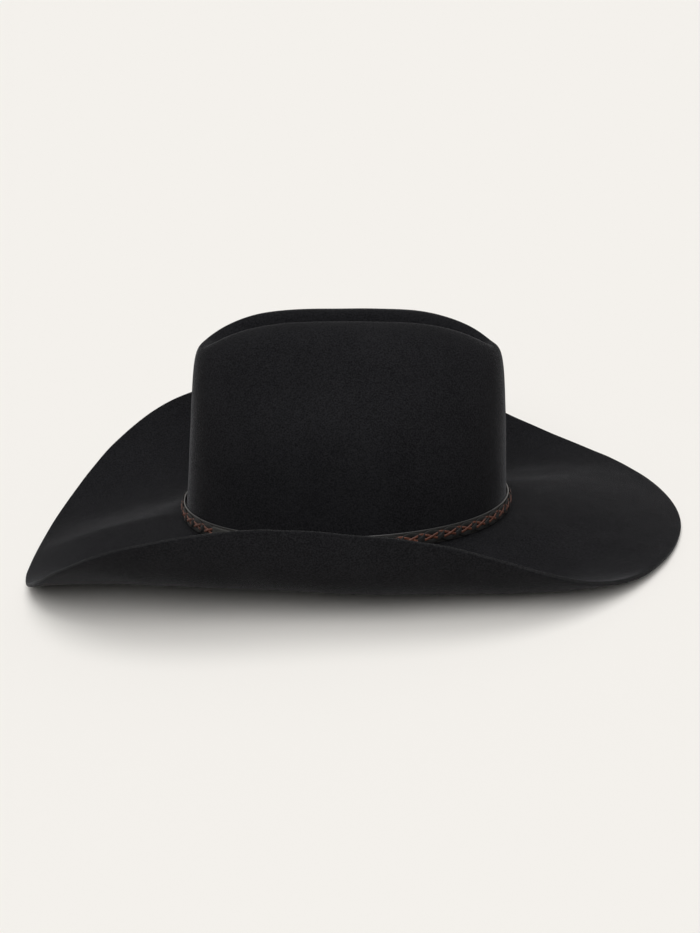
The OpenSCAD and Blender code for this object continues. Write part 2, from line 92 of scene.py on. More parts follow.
def bezier(p: Vector, q: Vector, r: Vector, s: Vector, t: float) -> Vector:
    """Return the point at share t of a cubic Bezier curve."""
    u = 1 - t
    return p * u ** 3 + q * (3 * u * u * t) + r * (3 * u * t * t) + s * t ** 3


def ease(t: float) -> float:
    """Return a smooth step of t, held between nought and one."""
    t = min(1.0, max(0.0, t))
    return t * t * (3 - 2 * t)


def spread(first: float, last: float, count: int) -> list[float]:
    """Return count values from first to last in equal steps."""
    return [first + (last - first) * i / (count - 1) for i in range(count)]


def full_round() -> list[float]:
    """Return the angles of a full round, whose last one meets the first."""
    return spread(0, 360, STATIONS + 1)


def flat(point: Vector) -> Vector:
    """Return the point with its height taken off."""
    return Vector((point.x, point.y, 0.0))


# ---------------------------------------------------------------- the block


@dataclass(frozen=True)
class HatBlock:
    """Shape of the felt in millimetres, as blocked, standing upright on its break line.

    The break line is where crown and brim meet. +X is the back of the hat and -Y the
    wearer's left. Angles run in degrees from the back. Reaches and rises of the brim's edge
    are given at even angles from the back to the front. Directions on the felt are taken
    over a nudge in degrees and a slip in share.
    """

    base_length: float = 209.0
    base_width: float = 173.0
    break_back: float = 2.0
    break_side: float = 1.3
    break_front: float = -4.9
    crown_height: float = 127.0
    crest_length: float = 180.0
    crest_shift: float = 1.5
    crest_spread: float = 16.5
    crest_front_spread: float = 8.0
    crest_end_drop: float = 18.0
    crest_drop_power: float = 3.6
    crest_squareness: float = 4.0
    crease_depth: float = 21.0
    crease_length: float = 120.0
    crease_handle: float = 0.45
    wall_rise: float = 86.0
    wall_lean: float = 3.8
    wall_lean_shift: float = 1.6
    shoulder_share: float = 0.40
    shoulder_least: float = 9.0
    dent_depth: float = 6.0
    dent_height: float = 98.0
    dent_forward: float = 22.0
    dent_reach: float = 48.0
    dent_rise: float = 22.0
    reaches: tuple[float, ...] = (218, 212, 207, 177, 156, 165, 206, 212, 203)
    rises: tuple[float, ...] = (-2, 1, 1, 41, 43, 47, 29, -29, -37)
    roll_side: float = 125.0
    roll_end: float = -16.0
    roll_fade_front: float = 1.2
    roll_fade_back: float = 2.0
    felt: float = 2.6
    foot_step: float = 2.8125
    nudge: float = 0.4
    slip: float = 0.004

    @property
    def mean_radius(self) -> float:
        """Mean radius of the crown at the break line."""
        return (self.base_length + self.base_width) / 4

    def swept(self, length: float) -> float:
        """Return the angle around the crown that a length takes up."""
        return math.degrees(length / self.mean_radius)

    def spline(self, stations: tuple[float, ...], angle: float) -> float:
        """Blend the values of evenly spaced stations, mirrored about the middle plane.

        Args:
            stations: Control values from the back to the front.
            angle: Angle from the back in degrees.

        Returns:
            The value of a uniform cubic B-spline there.
        """
        count = len(stations) - 1
        place = angle / (180 / count)
        index = math.floor(place)
        t = place - index
        weights = (
            (1 - t) ** 3,
            3 * t ** 3 - 6 * t * t + 4,
            -3 * t ** 3 + 3 * t * t + 3 * t + 1,
            t ** 3,
        )
        total = 0.0
        for offset, weight in enumerate(weights):
            station = (index - 1 + offset) % (2 * count)
            total += stations[min(station, 2 * count - station)] * weight
        return total / 6

    def break_point(self, angle: float) -> Vector:
        """Return the point of the break line at an angle."""
        c, s = math.cos(math.radians(angle)), math.sin(math.radians(angle))
        middle = (self.break_back + self.break_front) / 2
        tilt = (self.break_back - self.break_front) / 2
        height = self.break_side * s * s + middle * c * c + tilt * c
        return Vector((self.base_length / 2 * c, self.base_width / 2 * s, height))

    def outward(self, angle: float) -> Vector:
        """Return the level direction that points out of the crown at an angle."""
        a = math.radians(angle)
        out = Vector((math.cos(a) / self.base_length, math.sin(a) / self.base_width, 0))
        return out.normalized()

    def edge_point(self, angle: float) -> Vector:
        """Return the point of the brim's edge at an angle."""
        a = math.radians(angle)
        reach = self.spline(self.reaches, angle)
        return Vector((reach * math.cos(a), reach * math.sin(a), self.spline(self.rises, angle)))

    def brim(self, angle: float, share: float) -> Vector:
        """Return a point on top of the brim, whose sections are arcs.

        Args:
            angle: Angle from the back in degrees.
            share: Nought at the break line, one at the edge.

        Returns:
            The point.
        """
        a = math.radians(angle)
        foot = self.break_point(angle)
        run = self.edge_point(angle) - foot
        out = flat(run).length
        fade = self.roll_fade_front if math.cos(a) < 0 else self.roll_fade_back
        turn = math.radians(
            self.roll_end + (self.roll_side - self.roll_end) * abs(math.sin(a)) ** fade
        )

        def chord_share(half: float) -> float:
            """Return chord over arc for half the turn."""
            return 1.0 if abs(half) < 1e-4 else math.sin(half) / half

        length = run.length / chord_share(turn / 2) * share * chord_share(turn * share / 2)
        tilt = math.atan2(run.z, out) - turn / 2 + turn * share / 2
        level = flat(run) / out * (length * math.cos(tilt))
        return foot + level + Vector((0, 0, length * math.sin(tilt)))

    def ring_share(self, angle: float) -> float:
        """Return the reach of the squared ring of the crests."""
        a, p = math.radians(angle), self.crest_squareness
        return (abs(math.cos(a)) ** p + abs(math.sin(a)) ** p) ** (-1 / p)

    def crest(self, angle: float) -> Vector:
        """Return the point of the crest at an angle."""
        a, k = math.radians(angle), self.ring_share(angle)
        half = self.crest_spread + self.crest_front_spread * max(0.0, -math.cos(a)) ** 2
        drop = self.crest_end_drop * abs(math.cos(a) * k) ** self.crest_drop_power
        return Vector((
            self.crest_shift + self.crest_length / 2 * math.cos(a) * k,
            half * math.sin(a) * k,
            self.crown_height - drop,
        ))

    def crease_line(self, angle: float) -> Vector:
        """Return the point of the crease's floor line that an angle runs to."""
        reach = self.crease_length / 2 * math.cos(math.radians(angle)) * self.ring_share(angle)
        return Vector((self.crest_shift + reach, 0, self.crown_height - self.crease_depth))

    def dented(self, point: Vector) -> Vector:
        """Return a point of the crown pushed in by the dent in its side."""
        along = ((point.x + self.dent_forward) / self.dent_reach) ** 2
        up = ((point.z - self.dent_height) / self.dent_rise) ** 2
        depth = min(self.dent_depth * math.exp(-along - up), abs(point.y) * 0.5)
        return point - Vector((0, math.copysign(depth, point.y), 0))

    def wall(self, angle: float, share: float) -> Vector:
        """Return a point on the outside of the crown's wall.

        Args:
            angle: Angle from the back in degrees.
            share: Nought at the break line, one on the crest.

        Returns:
            The point.
        """
        foot, top = self.break_point(angle), self.crest(angle)
        run = flat(foot - top)
        away = run.length
        level = run / away
        handle = math.hypot(self.shoulder_least, self.shoulder_share * away)
        lean = math.radians(self.wall_lean - self.wall_lean_shift * math.cos(math.radians(angle)))
        knee = foot + Vector((0, 0, self.wall_rise)) - level * (self.wall_rise * math.tan(lean))
        return self.dented(bezier(foot, knee, top + level * handle, top, share))

    def crease(self, angle: float, share: float) -> Vector:
        """Return a point of the crown's top, from the crest (0) to the crease's floor (1)."""
        top, low = self.crest(angle), self.crease_line(angle)
        reach = flat(low - top) * self.crease_handle
        return bezier(self.dented(top), top + reach, low - reach, low, share)

    @functools.lru_cache(maxsize=None)
    def share_at(self, height: float) -> float:
        """Return the wall's share at a height above the break line."""
        low, high = 0.0, 1.0
        for _ in range(40):
            t = (low + high) / 2
            rising = self.wall_rise * 3 * t * (1 - t) ** 2
            reached = rising + self.crown_height * t * t * (3 - 2 * t)
            low, high = (t, high) if reached < height else (low, t)
        return low

    def inside(self, angle: float, height: float, depth: float) -> Vector:
        """Return a point inside the crown, under the felt's outer face.

        Args:
            angle: Angle from the back in degrees.
            height: Height above the break line; below it, layers hang straight down.
            depth: Depth under the outer face.

        Returns:
            The point.
        """
        share = self.share_at(max(0.0, height))
        around = self.wall(angle + self.nudge, share) - self.wall(angle - self.nudge, share)
        upper = self.wall(angle, min(1, share + self.slip))
        up = upper - self.wall(angle, max(0, share - self.slip))
        point = self.wall(angle, share) - around.cross(up).normalized() * depth
        return point + Vector((0, 0, min(0.0, height)))

    def under_crease(self, angle: float, share: float, depth: float) -> Vector:
        """Return a point at a depth under the crown's top."""
        level = flat(self.crease_line(angle) - self.crest(angle)).normalized()
        lower = self.crease(angle, min(1, share + self.slip))
        step = lower - self.crease(angle, max(0, share - self.slip))
        normal = (Vector((0, 0, step.dot(level))) - level * step.z).normalized()
        return self.crease(angle, share) - (normal if share < 0.99 else Vector((0, 0, 1))) * depth

    def rest(self) -> Matrix:
        """Return the move that sets the upright hat down on its brim, in metres.

        The hat leans back until the undersides of its front and back edges touch the
        ground, and it stands over the middle of its length.
        """
        tips = []
        for angle in (180 - self.foot_step, self.foot_step):
            out = self.brim(angle, 1) - self.brim(angle, 1 - self.slip)
            around = self.brim(angle + self.nudge, 1) - self.brim(angle - self.nudge, 1)
            tips.append(self.brim(angle, 1) - out.cross(around).normalized() * self.felt)
        run = tips[1] - tips[0]
        turn = Matrix.Rotation(math.atan2(run.z, run.x), 4, "Y")
        front, back = turn @ tips[0], turn @ tips[1]
        shift = Matrix.Translation((-(front.x + back.x) / 2, 0, -front.z))
        return Matrix.Scale(MM, 4) @ shift @ turn


# ---------------------------------------------------------------- modelling


Ring = Sequence[Vector]
Profile = Sequence[tuple[float, float]]


class Loft:
    """Skin grown ring by ring, each one extruded from the edges of the last."""

    def __init__(self, rings: Sequence[Ring]) -> None:
        """Grow the skin.

        Args:
            rings: Rings of as many points each, in millimetres. Each runs back to its start.
        """
        self.bm = bmesh.new()
        self.column = self.bm.verts.layers.int.new("column")
        self.row = self.bm.verts.layers.int.new("row")
        verts = [self.bm.verts.new(point) for point in rings[0]]
        for index, vert in enumerate(verts):
            vert[self.column] = index
        self.edges = [self.bm.edges.new(pair) for pair in zip(verts, verts[1:] + verts[:1])]
        self.start = list(self.edges)
        self.columns, self.rows = len(verts), 1
        for ring in rings[1:]:
            self.grow(ring)

    def grow(self, ring: Ring) -> None:
        """Extrude the open loop of edges to one more ring.

        Args:
            ring: Its points, as many as the first ring has.
        """
        made = bmesh.ops.extrude_edge_only(self.bm, edges=self.edges)["geom"]
        fresh = {item for item in made if isinstance(item, bmesh.types.BMVert)}
        for vert in fresh:
            vert.co = ring[vert[self.column]]
            vert[self.row] = self.rows
        self.edges = [
            item for item in made
            if isinstance(item, bmesh.types.BMEdge) and all(v in fresh for v in item.verts)
        ]
        self.rows += 1

    def cap(self) -> "Loft":
        """Close both open ends with a face and return the loft itself."""
        for loop in (self.start, self.edges):
            bmesh.ops.contextual_create(self.bm, geom=loop)
        return self

    def weld(self, distance: float = 1e-4) -> "Loft":
        """Merge points that lie on each other and return the loft itself."""
        bmesh.ops.remove_doubles(self.bm, verts=self.bm.verts, dist=distance)
        return self

    def lay_map(self, row_pitch: float, column_pitch: float) -> "Loft":
        """Lay the skin out flat for patterns that follow the surface.

        Args:
            row_pitch: Length from ring to ring, in millimetres.
            column_pitch: Length from point to point of a ring, in millimetres.

        Returns:
            The loft itself.
        """
        layer = self.bm.loops.layers.uv.new("surface")
        for face in self.bm.faces:
            rows = [loop.vert[self.row] for loop in face.loops]
            columns = [loop.vert[self.column] for loop in face.loops]
            row_wraps = max(rows) - min(rows) > 1
            column_wraps = max(columns) - min(columns) > 1
            for loop, row, column in zip(face.loops, rows, columns):
                u = row + self.rows - 1 if row_wraps and row < self.rows / 2 else row
                v = column + self.columns if column_wraps and column < self.columns / 2 else column
                loop[layer].uv = (u * row_pitch * MM, v * column_pitch * MM)
        return self

    def face_up(self) -> "Loft":
        """Turn an open skin's faces the same way, upwards on the whole, and return the loft."""
        bmesh.ops.recalc_face_normals(self.bm, faces=self.bm.faces)
        if sum(face.normal.z * face.calc_area() for face in self.bm.faces) < 0:
            bmesh.ops.reverse_faces(self.bm, faces=self.bm.faces)
        return self


def set_out(
    name: str, bm: bmesh.types.BMesh, material: bpy.types.Material
) -> bpy.types.Object:
    """Turn a skin into an object of the scene.

    Args:
        name: Name of the object.
        bm: Its skin, in metres, which is freed.
        material: Its finish.

    Returns:
        The object.
    """
    mesh = bpy.data.meshes.new(name)
    bm.to_mesh(mesh)
    bm.free()
    mesh.materials.append(material)
    made = bpy.data.objects.new(name, mesh)
    bpy.context.scene.collection.objects.link(made)
    return made


@dataclass(frozen=True)
class Shop:
    """What turns finished skins into named pieces on the hat."""

    block: HatBlock

    def piece(
        self,
        name: str,
        bm: bmesh.types.BMesh,
        material: bpy.types.Material,
        slot: str,
        nodes: Sequence[str],
        turn_out: bool = True,
    ) -> bpy.types.Object:
        """Set a skin down on the hat as a smooth piece that stands for CAD nodes.

        Args:
            name: Name of the piece.
            bm: Skin in millimetres on the upright hat. It is freed.
            material: Finish of the piece.
            slot: Material slot of the record; not used.
            nodes: CAD nodes that the piece stands for.
            turn_out: Whether to turn the faces of a closed skin outwards.

        Returns:
            The piece.
        """
        if turn_out:
            bmesh.ops.recalc_face_normals(bm, faces=bm.faces)
        bmesh.ops.transform(bm, matrix=self.block.rest(), verts=bm.verts)
        for face in bm.faces:
            face.smooth = True
        made = set_out(name, bm, material)
        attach(made, BODY)
        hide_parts(*nodes)
        LOG.info("%s: %d faces for %s", name, len(made.data.polygons), ", ".join(nodes))
        return made

    def soften(self, piece: bpy.types.Object, width: float, angle: float = SHARP) -> None:
        """Round a piece's sharp edges.

        Args:
            piece: The piece.
            width: Width of the rounding in millimetres.
            angle: Sharpness in degrees from which an edge is rounded.
        """
        made = piece.modifiers.new("soft_edges", "BEVEL")
        made.width = width * MM
        made.segments = ROUND_STEPS
        made.limit_method = "ANGLE"
        made.angle_limit = math.radians(angle)


def rounded(
    width: float, height: float, radius: float, steps: int = 3
) -> list[tuple[float, float]]:
    """Return the outline of a rectangle with round corners about its middle.

    Args:
        width: Size along the first axis.
        height: Size along the second axis.
        radius: Radius of the corners.
        steps: Segments of each corner.

    Returns:
        Points that run round the outline.
    """
    radius = min(radius, width / 2, height / 2)
    points = []
    for corner, (sx, sy) in enumerate(((1, 1), (-1, 1), (-1, -1), (1, -1))):
        for step in range(steps + 1):
            a = math.radians(90 * corner + 90 * step / steps)
            points.append((
                sx * (width / 2 - radius) + radius * math.cos(a),
                sy * (height / 2 - radius) + radius * math.sin(a),
            ))
    return points


class Stitching:
    """Threads of one kind, gathered in one skin."""

    def __init__(self) -> None:
        """Start with no thread."""
        self.bm = bmesh.new()

    def add(self, middle: Vector, along: Vector, away: Vector, size: Vector) -> None:
        """Add one stitch, a thread that dips into the cloth at both ends.

        Args:
            middle: Middle of the stitch.
            along: Direction that the thread runs in.
            away: Direction that faces away from the cloth.
            size: Length, width and thickness of the stitch.
        """
        along = along.normalized()
        across = away.cross(along).normalized()
        away = along.cross(across)
        axes = Matrix((across * size.y, away * size.z, along * size.x)).transposed() * 0.5
        place = Matrix.Translation(middle) @ axes.to_4x4()
        bmesh.ops.create_uvsphere(self.bm, u_segments=8, v_segments=6, radius=1, matrix=place)


# ---------------------------------------------------------------- finishes


def add_node(
    tree: bpy.types.NodeTree,
    kind: str,
    settings: dict[str | int, object] | None = None,
    links: dict[str | int, bpy.types.NodeSocket] | None = None,
) -> bpy.types.Node:
    """Add a node to a tree.

    Args:
        tree: Tree that the node joins.
        kind: Type name of the node.
        settings: Values by the name of a property, or the name or place of an input.
        links: Sockets that feed inputs, by the input's name or place.

    Returns:
        The node.
    """
    made = tree.nodes.new(kind)
    for key, value in (settings or {}).items():
        if isinstance(key, int) or key in made.inputs:
            made.inputs[key].default_value = value
        else:
            setattr(made, key, value)
    for key, socket in (links or {}).items():
        tree.links.new(socket, made.inputs[key])
    return made


class Lay(Enum):
    """What a pattern's place is read from."""

    BODY = "Object"
    CLOTH = "UV"


@dataclass(frozen=True)
class Finish:
    """Surface of one stock: its name, two dye shades and how it takes light."""

    name: str
    deep: str
    pale: str
    roughness: float
    ior: float = 1.5
    speck: float = 1.0
    lay: Lay = Lay.BODY

    def begin(self) -> tuple[bpy.types.Material, bpy.types.NodeTree, bpy.types.NodeSocket]:
        """Make an empty material and the place socket that its patterns read.

        Returns:
            The material, its node tree and the socket, in millimetres.
        """
        made = bpy.data.materials.new(self.name)
        made.use_nodes = True
        tree = made.node_tree
        tree.nodes.clear()
        place = add_node(tree, "ShaderNodeTexCoord")
        scaled = add_node(
            tree, "ShaderNodeMapping", {"Scale": (1 / MM,) * 3},
            {"Vector": place.outputs[self.lay.value]},
        )
        return made, tree, scaled.outputs["Vector"]

    def noise(
        self,
        tree: bpy.types.NodeTree,
        place: bpy.types.NodeSocket,
        grain: float,
        detail: float = 3.0,
        stretch: tuple[float, float, float] = (1.0, 1.0, 1.0),
    ) -> bpy.types.NodeSocket:
        """Add a cloudy pattern.

        Args:
            tree: Tree that it joins.
            place: Place socket, in millimetres.
            grain: Size of its blotches in millimetres.
            detail: Number of finer layers.
            stretch: How many times closer the pattern runs along each axis.

        Returns:
            The pattern's value, about one half.
        """
        turned = add_node(tree, "ShaderNodeMapping", {"Scale": stretch}, {"Vector": place})
        cloud = add_node(
            tree, "ShaderNodeTexNoise", {"Scale": 1 / grain, "Detail": detail, "Roughness": 0.6},
            {"Vector": turned.outputs["Vector"]},
        )
        return cloud.outputs["Fac"]

    def shade(
        self,
        tree: bpy.types.NodeTree,
        value: bpy.types.NodeSocket,
        low: float = 0.3,
        high: float = 0.7,
    ) -> bpy.types.NodeSocket:
        """Blend the two dye shades by a pattern.

        Args:
            tree: Tree that the blend joins.
            value: The pattern.
            low: Value of the pattern at which the deep shade stands alone.
            high: Value of the pattern at which the pale shade stands alone.

        Returns:
            The colour socket.
        """
        share = add_node(
            tree, "ShaderNodeMapRange", {"From Min": low, "From Max": high}, {"Value": value}
        )
        mixed = add_node(
            tree, "ShaderNodeMix",
            {"data_type": "RGBA", 6: linear(self.deep), 7: linear(self.pale)},
            {"Factor": share.outputs["Result"]},
        )
        return mixed.outputs[2]

    def bump(
        self,
        tree: bpy.types.NodeTree,
        height: bpy.types.NodeSocket,
        depth: float,
        strength: float,
        under: bpy.types.NodeSocket | None = None,
    ) -> bpy.types.NodeSocket:
        """Turn a pattern into small relief.

        Args:
            tree: Tree that it joins.
            height: The pattern.
            depth: Depth of the relief in millimetres.
            strength: Share of the relief that shows.
            under: Relief that this one lies on.

        Returns:
            The normal socket.
        """
        links = {"Height": height} | ({"Normal": under} if under else {})
        made = add_node(
            tree, "ShaderNodeBump", {"Distance": depth * MM, "Strength": strength}, links
        )
        return made.outputs["Normal"]

    def close(
        self,
        tree: bpy.types.NodeTree,
        colour: bpy.types.NodeSocket,
        normal: bpy.types.NodeSocket,
        settings: dict[str | int, object] | None = None,
        links: dict[str | int, bpy.types.NodeSocket] | None = None,
    ) -> None:
        """Add the shader and the output.

        Args:
            tree: Tree that they join.
            colour: Socket of the base colour.
            normal: Socket of the normal.
            settings: Further values of the shader.
            links: Further sockets that feed the shader.
        """
        shader = add_node(
            tree, "ShaderNodeBsdfPrincipled",
            {"Roughness": self.roughness, "IOR": self.ior} | (settings or {}),
            {"Base Color": colour, "Normal": normal} | (links or {}),
        )
        add_node(
            tree, "ShaderNodeOutputMaterial", links={"Surface": shader.outputs["BSDF"]}
        )

    def make(self) -> bpy.types.Material:
        """Make the material of this finish."""
        made, tree, place = self.begin()
        speck = self.noise(tree, place, self.speck)
        self.close(tree, self.shade(tree, speck), self.bump(tree, speck, 0.1, 0.3))
        return made


@dataclass(frozen=True)
class FurFelt(Finish):
    """Fur felt, matted wet under pressure, dyed through and brushed.

    The tangle of fibres gives a dead matt face with fine pale specks, and the loose ends
    catch light along every edge seen at a slant. Real tangles are a few tenths of a
    millimetre across; the specks are drawn about twice as coarse, so that they show.
    """

    name: str = "black_fur_felt"
    deep: str = "#0b0b0d"
    pale: str = "#1e1e20"
    roughness: float = 0.92
    ior: float = 1.45
    speck: float = 0.9
    cloud: float = 26.0
    cloud_share: float = 0.12
    specular: float = 0.085
    sheen: float = 0.18
    sheen_roughness: float = 0.17
    sheen_tint: str = "#e9e9ee"

    def make(self) -> bpy.types.Material:
        """Make the material of this finish."""
        made, tree, place = self.begin()
        speck = self.noise(tree, place, self.speck, 4)
        cloud = self.noise(tree, place, self.cloud, 2)
        both = add_node(
            tree, "ShaderNodeMix", {"data_type": "FLOAT", "Factor": self.cloud_share},
            {2: speck, 3: cloud},
        )
        # Fibre ends stand a few tenths of a millimetre proud; the blocked face is uneven
        # over two or three centimetres, where it was pulled by hand.
        hand = self.bump(tree, cloud, 0.6, 0.25)
        self.close(
            tree,
            self.shade(tree, both.outputs[0], 0.38, 0.62),
            self.bump(tree, speck, 0.5, 0.8, hand),
            {
                "Sheen Weight": self.sheen,
                "Sheen Roughness": self.sheen_roughness,
                "Sheen Tint": linear(self.sheen_tint),
                "Specular IOR Level": self.specular,
            },
        )
        return made


@dataclass(frozen=True)
class GrainLeather(Finish):
    """Vegetable tanned cowhide with its natural grain, dyed and waxed.

    Shallow pebbles a few tenths of a millimetre across break up a low satin gloss.
    """

    pebble: float = 0.8
    relief: float = 0.12
    coat: float = 0.0

    def make(self) -> bpy.types.Material:
        """Make the material of this finish."""
        made, tree, place = self.begin()
        cloud = self.noise(tree, place, self.speck * 6, 3)
        grain = add_node(
            tree, "ShaderNodeTexVoronoi", {"feature": "SMOOTH_F1", "Scale": 1 / self.pebble},
            {"Vector": place},
        )
        wear = self.noise(tree, place, self.speck * 2, 4)
        rough = add_node(
            tree, "ShaderNodeMapRange",
            {"To Min": self.roughness - 0.08, "To Max": self.roughness + 0.1}, {"Value": wear},
        )
        fine = self.bump(tree, wear, 0.08, 0.3)
        self.close(
            tree,
            self.shade(tree, cloud),
            self.bump(tree, grain.outputs["Distance"], self.relief, 0.5, fine),
            {"Coat Weight": self.coat, "Coat Roughness": 0.25},
            {"Roughness": rough.outputs["Result"]},
        )
        return made


@dataclass(frozen=True)
class LaceLeather(Finish):
    """Kangaroo or calf lace, skived thin, dyed and burnished by the braiding.

    Fine creases run along each lace, and its dye has taken unevenly over a few millimetres.
    """

    speck: float = 1.6
    lay: Lay = Lay.CLOTH

    def make(self) -> bpy.types.Material:
        """Make the material of this finish."""
        made, tree, place = self.begin()
        streak = self.noise(tree, place, 0.6, 3, (0.16, 1.0, 1.0))
        patch = self.noise(tree, place, self.speck * 5, 2)
        both = add_node(
            tree, "ShaderNodeMix", {"data_type": "FLOAT", "Factor": 0.4}, {2: streak, 3: patch}
        )
        self.close(
            tree,
            self.shade(tree, both.outputs[0], 0.35, 0.65),
            self.bump(tree, streak, 0.15, 0.5),
        )
        return made


@dataclass(frozen=True)
class SpunThread(Finish):
    """Waxed thread, three plies twisted hard. The plies show as slanting ribs."""

    speck: float = 0.45

    def make(self) -> bpy.types.Material:
        """Make the material of this finish."""
        made, tree, place = self.begin()
        ply = add_node(
            tree, "ShaderNodeTexWave",
            {"bands_direction": "DIAGONAL", "Scale": 0.3 / self.speck, "Distortion": 1.5},
            {"Vector": place},
        )
        tone = self.noise(tree, place, self.speck * 3)
        self.close(
            tree, self.shade(tree, tone), self.bump(tree, ply.outputs["Fac"], 0.15, 0.6),
            {"Sheen Weight": 0.15, "Sheen Roughness": 0.4},
        )
        return made


@dataclass(frozen=True)
class WovenCloth(Finish):
    """Cloth woven from filament yarn, with the ribs of its weave."""

    rib: float = 0.8
    sheen: float = 0.3
    anisotropic: float = 0.0
    lay: Lay = Lay.CLOTH

    def make(self) -> bpy.types.Material:
        """Make the material of this finish."""
        made, tree, place = self.begin()
        # A wave repeats every 2 pi / 20 of its scaled length.
        ribs = add_node(
            tree, "ShaderNodeTexWave",
            {"bands_direction": "X", "Scale": math.tau / 20 / self.rib, "Distortion": 0.4},
            {"Vector": place},
        )
        tone = self.noise(tree, place, self.speck * 8, 2)
        weave = self.noise(tree, place, 0.5, 2, (0.3, 1.0, 1.0))
        under = self.bump(tree, weave, 0.08, 0.4)
        self.close(
            tree,
            self.shade(tree, tone),
            self.bump(tree, ribs.outputs["Fac"], 0.12, 0.5, under),
            {
                "Sheen Weight": self.sheen,
                "Sheen Roughness": 0.3,
                "Anisotropic": self.anisotropic,
            },
        )
        return made


# Two shades, roughness and pattern sizes of every stock of the hat.
BRUSHED_FELT = FurFelt()
# The cut edge's paler shades are partly the rubbed edge's own tone and partly a painted highlight:
# the light line that the fibre ends catch.
FELT_EDGE_WEAR_AND_HIGHLIGHT = FurFelt("felt_edge_wear_and_painted_highlight", "#121213", "#272728")
STRAP_LEATHER = GrainLeather("black_strap_leather", "#100f0f", "#1a1918", 0.6, 1.4)
TAB_LEATHER = GrainLeather("black_tab_leather", "#171716", "#272725", 0.55, 1.45, pebble=0.7)
STRAP_EDGE = GrainLeather("rubbed_strap_edge", "#0e0e0f", "#18181a", 0.35, relief=0.05, coat=0.2)
BROWN_LACE = LaceLeather("brown_lace_leather", "#37190f", "#653a2a", 0.45)
BLACK_LACE = LaceLeather("black_lace_leather", "#0a0a0b", "#131313", 0.62, 1.4)
BLACK_THREAD = SpunThread("black_waxed_thread", "#0e0e0f", "#1d1d1f", 0.55)
TAN_THREAD = SpunThread("tan_waxed_thread", "#6f5f4d", "#9a8a74", 0.6)
SWEATBAND_LEATHER = GrainLeather(
    "brown_sweatband_leather", "#2e2018", "#463226", 0.5, pebble=0.6, relief=0.08
)
PATCH_LEATHER = GrainLeather("brown_patch_leather", "#281b14", "#3c2b21", 0.5, pebble=0.7)
REED_PLASTIC = Finish("white_extruded_polyethylene", "#cfcdc5", "#dedcd5", 0.45, 1.51, 3.0)
REED_TAPE = WovenCloth("brown_cotton_tape", "#221d1a", "#2e2825", 0.85, rib=0.9, sheen=0.1)
BOW_RIBBON = WovenCloth("black_grosgrain_ribbon", "#141416", "#222225", 0.6, rib=1.0)
# The warp of satin is finer than can be seen here; it is drawn about four times too coarse.
LINING_SATIN = WovenCloth(
    "charcoal_lining_satin", "#222226", "#333338", 0.38, rib=0.7, sheen=0.2, anisotropic=0.5
)
PIPING_SATIN = WovenCloth("grey_piping_satin", "#303036", "#44444b", 0.4, rib=1.2, sheen=0.2)
TAG_CARD = Finish("cream_tag_card", "#cfc9ba", "#dfdacd", 0.8, 1.45, 0.8)


# ---------------------------------------------------------------- the pieces


@dataclass(frozen=True)
class FeltBody:
    """Crown and brim, blocked from one cone of felt and cut raw at the edge.

    The felt wavers a little, as hand blocking leaves it, but not at the front and back,
    where the brim stands on the ground.
    """

    shop: Shop
    columns: int = 256
    crease_rows: int = 14
    wall_rows: int = 36
    brim_rows: int = 30
    break_round: float = 3.0
    break_steps: int = 5
    edge_round: float = 0.8
    edge_sharp: float = 50.0
    crown_waver: float = 0.25
    edge_waver: float = 0.55
    waver_span: float = 22.0
    waver_seed: int = 7
    ground_share: float = 0.4
    weld: float = 0.2

    def hand_made(self, point: Vector, amount: float) -> Vector:
        """Return a point of the felt moved by up to an amount, as hand blocking leaves it."""
        return point + noise.noise_vector(point / self.waver_span) * amount

    def free(self, angle: float) -> float:
        """Return how free the brim is to waver, nought where it stands on the ground."""
        return ease(abs(math.sin(math.radians(angle))) / self.ground_share)

    def build(self) -> None:
        """Build the felt body."""
        # Without a seed of its own the waver would change from run to run.
        noise.seed_set(self.waver_seed)
        block = self.shop.block
        angles = [(i + 0.5) * 360 / self.columns for i in range(self.columns)]
        crown = [[block.crease(a, s) for a in angles] for s in spread(1, 0, self.crease_rows)]
        walls = spread(1, 0, self.wall_rows)
        crown += [[block.wall(a, t) for a in angles] for t in walls[1:]]
        rings = [[self.hand_made(p, self.crown_waver) for p in ring] for ring in crown]
        for v in spread(0, 1, self.brim_rows)[1:]:
            amount = self.crown_waver + (self.edge_waver - self.crown_waver) * v
            rings.append([self.hand_made(block.brim(a, v), amount * self.free(a)) for a in angles])
        loft = Loft(rings)
        corner = self.crease_rows + self.wall_rows - 2
        bend = [e for e in loft.bm.edges if all(v[loft.row] == corner for v in e.verts)]
        bmesh.ops.bevel(
            loft.bm, geom=bend, offset=self.break_round, offset_type="OFFSET",
            segments=self.break_steps, profile=0.5, affect="EDGES", clamp_overlap=True,
            material=-1,
        )
        loft.weld(self.weld).face_up()
        felt = self.shop.piece("felt", loft.bm, BRUSHED_FELT.make(), "felt", ["felt_body"], False)
        wall = felt.modifiers.new("felt_thickness", "SOLIDIFY")
        wall.thickness = block.felt * MM
        wall.offset = -1
        # The rim faces of the cut edge take the paler felt, partly its rubbed tone and partly a
        # painted highlight along the edge.
        felt.data.materials.append(FELT_EDGE_WEAR_AND_HIGHLIGHT.make())
        wall.material_offset_rim = 1
        wall.use_even_offset = True
        self.shop.soften(felt, self.edge_round, self.edge_sharp)


@dataclass(frozen=True)
class LaceKind:
    """One colour of lace and how it runs in the braid.

    Its stops are pairs of a place along the pattern, in degrees, and how far out the lace
    lies there, from -1 to 1. A lace meets its twin at 0, rising, and at 180, falling.
    """

    leather: LaceLeather
    slot: str
    width: float
    swing: float
    raised: float
    stops: tuple[tuple[float, float], ...]

    def height_over(self, turn: float) -> float:
        """Return how far out the lace lies at a place along the pattern."""
        turn %= 360
        for (first, low), (last, high) in zip(self.stops, self.stops[1:]):
            if turn <= last:
                return low + (high - low) * ease((turn - first) / (last - first))
        return self.stops[-1][1]


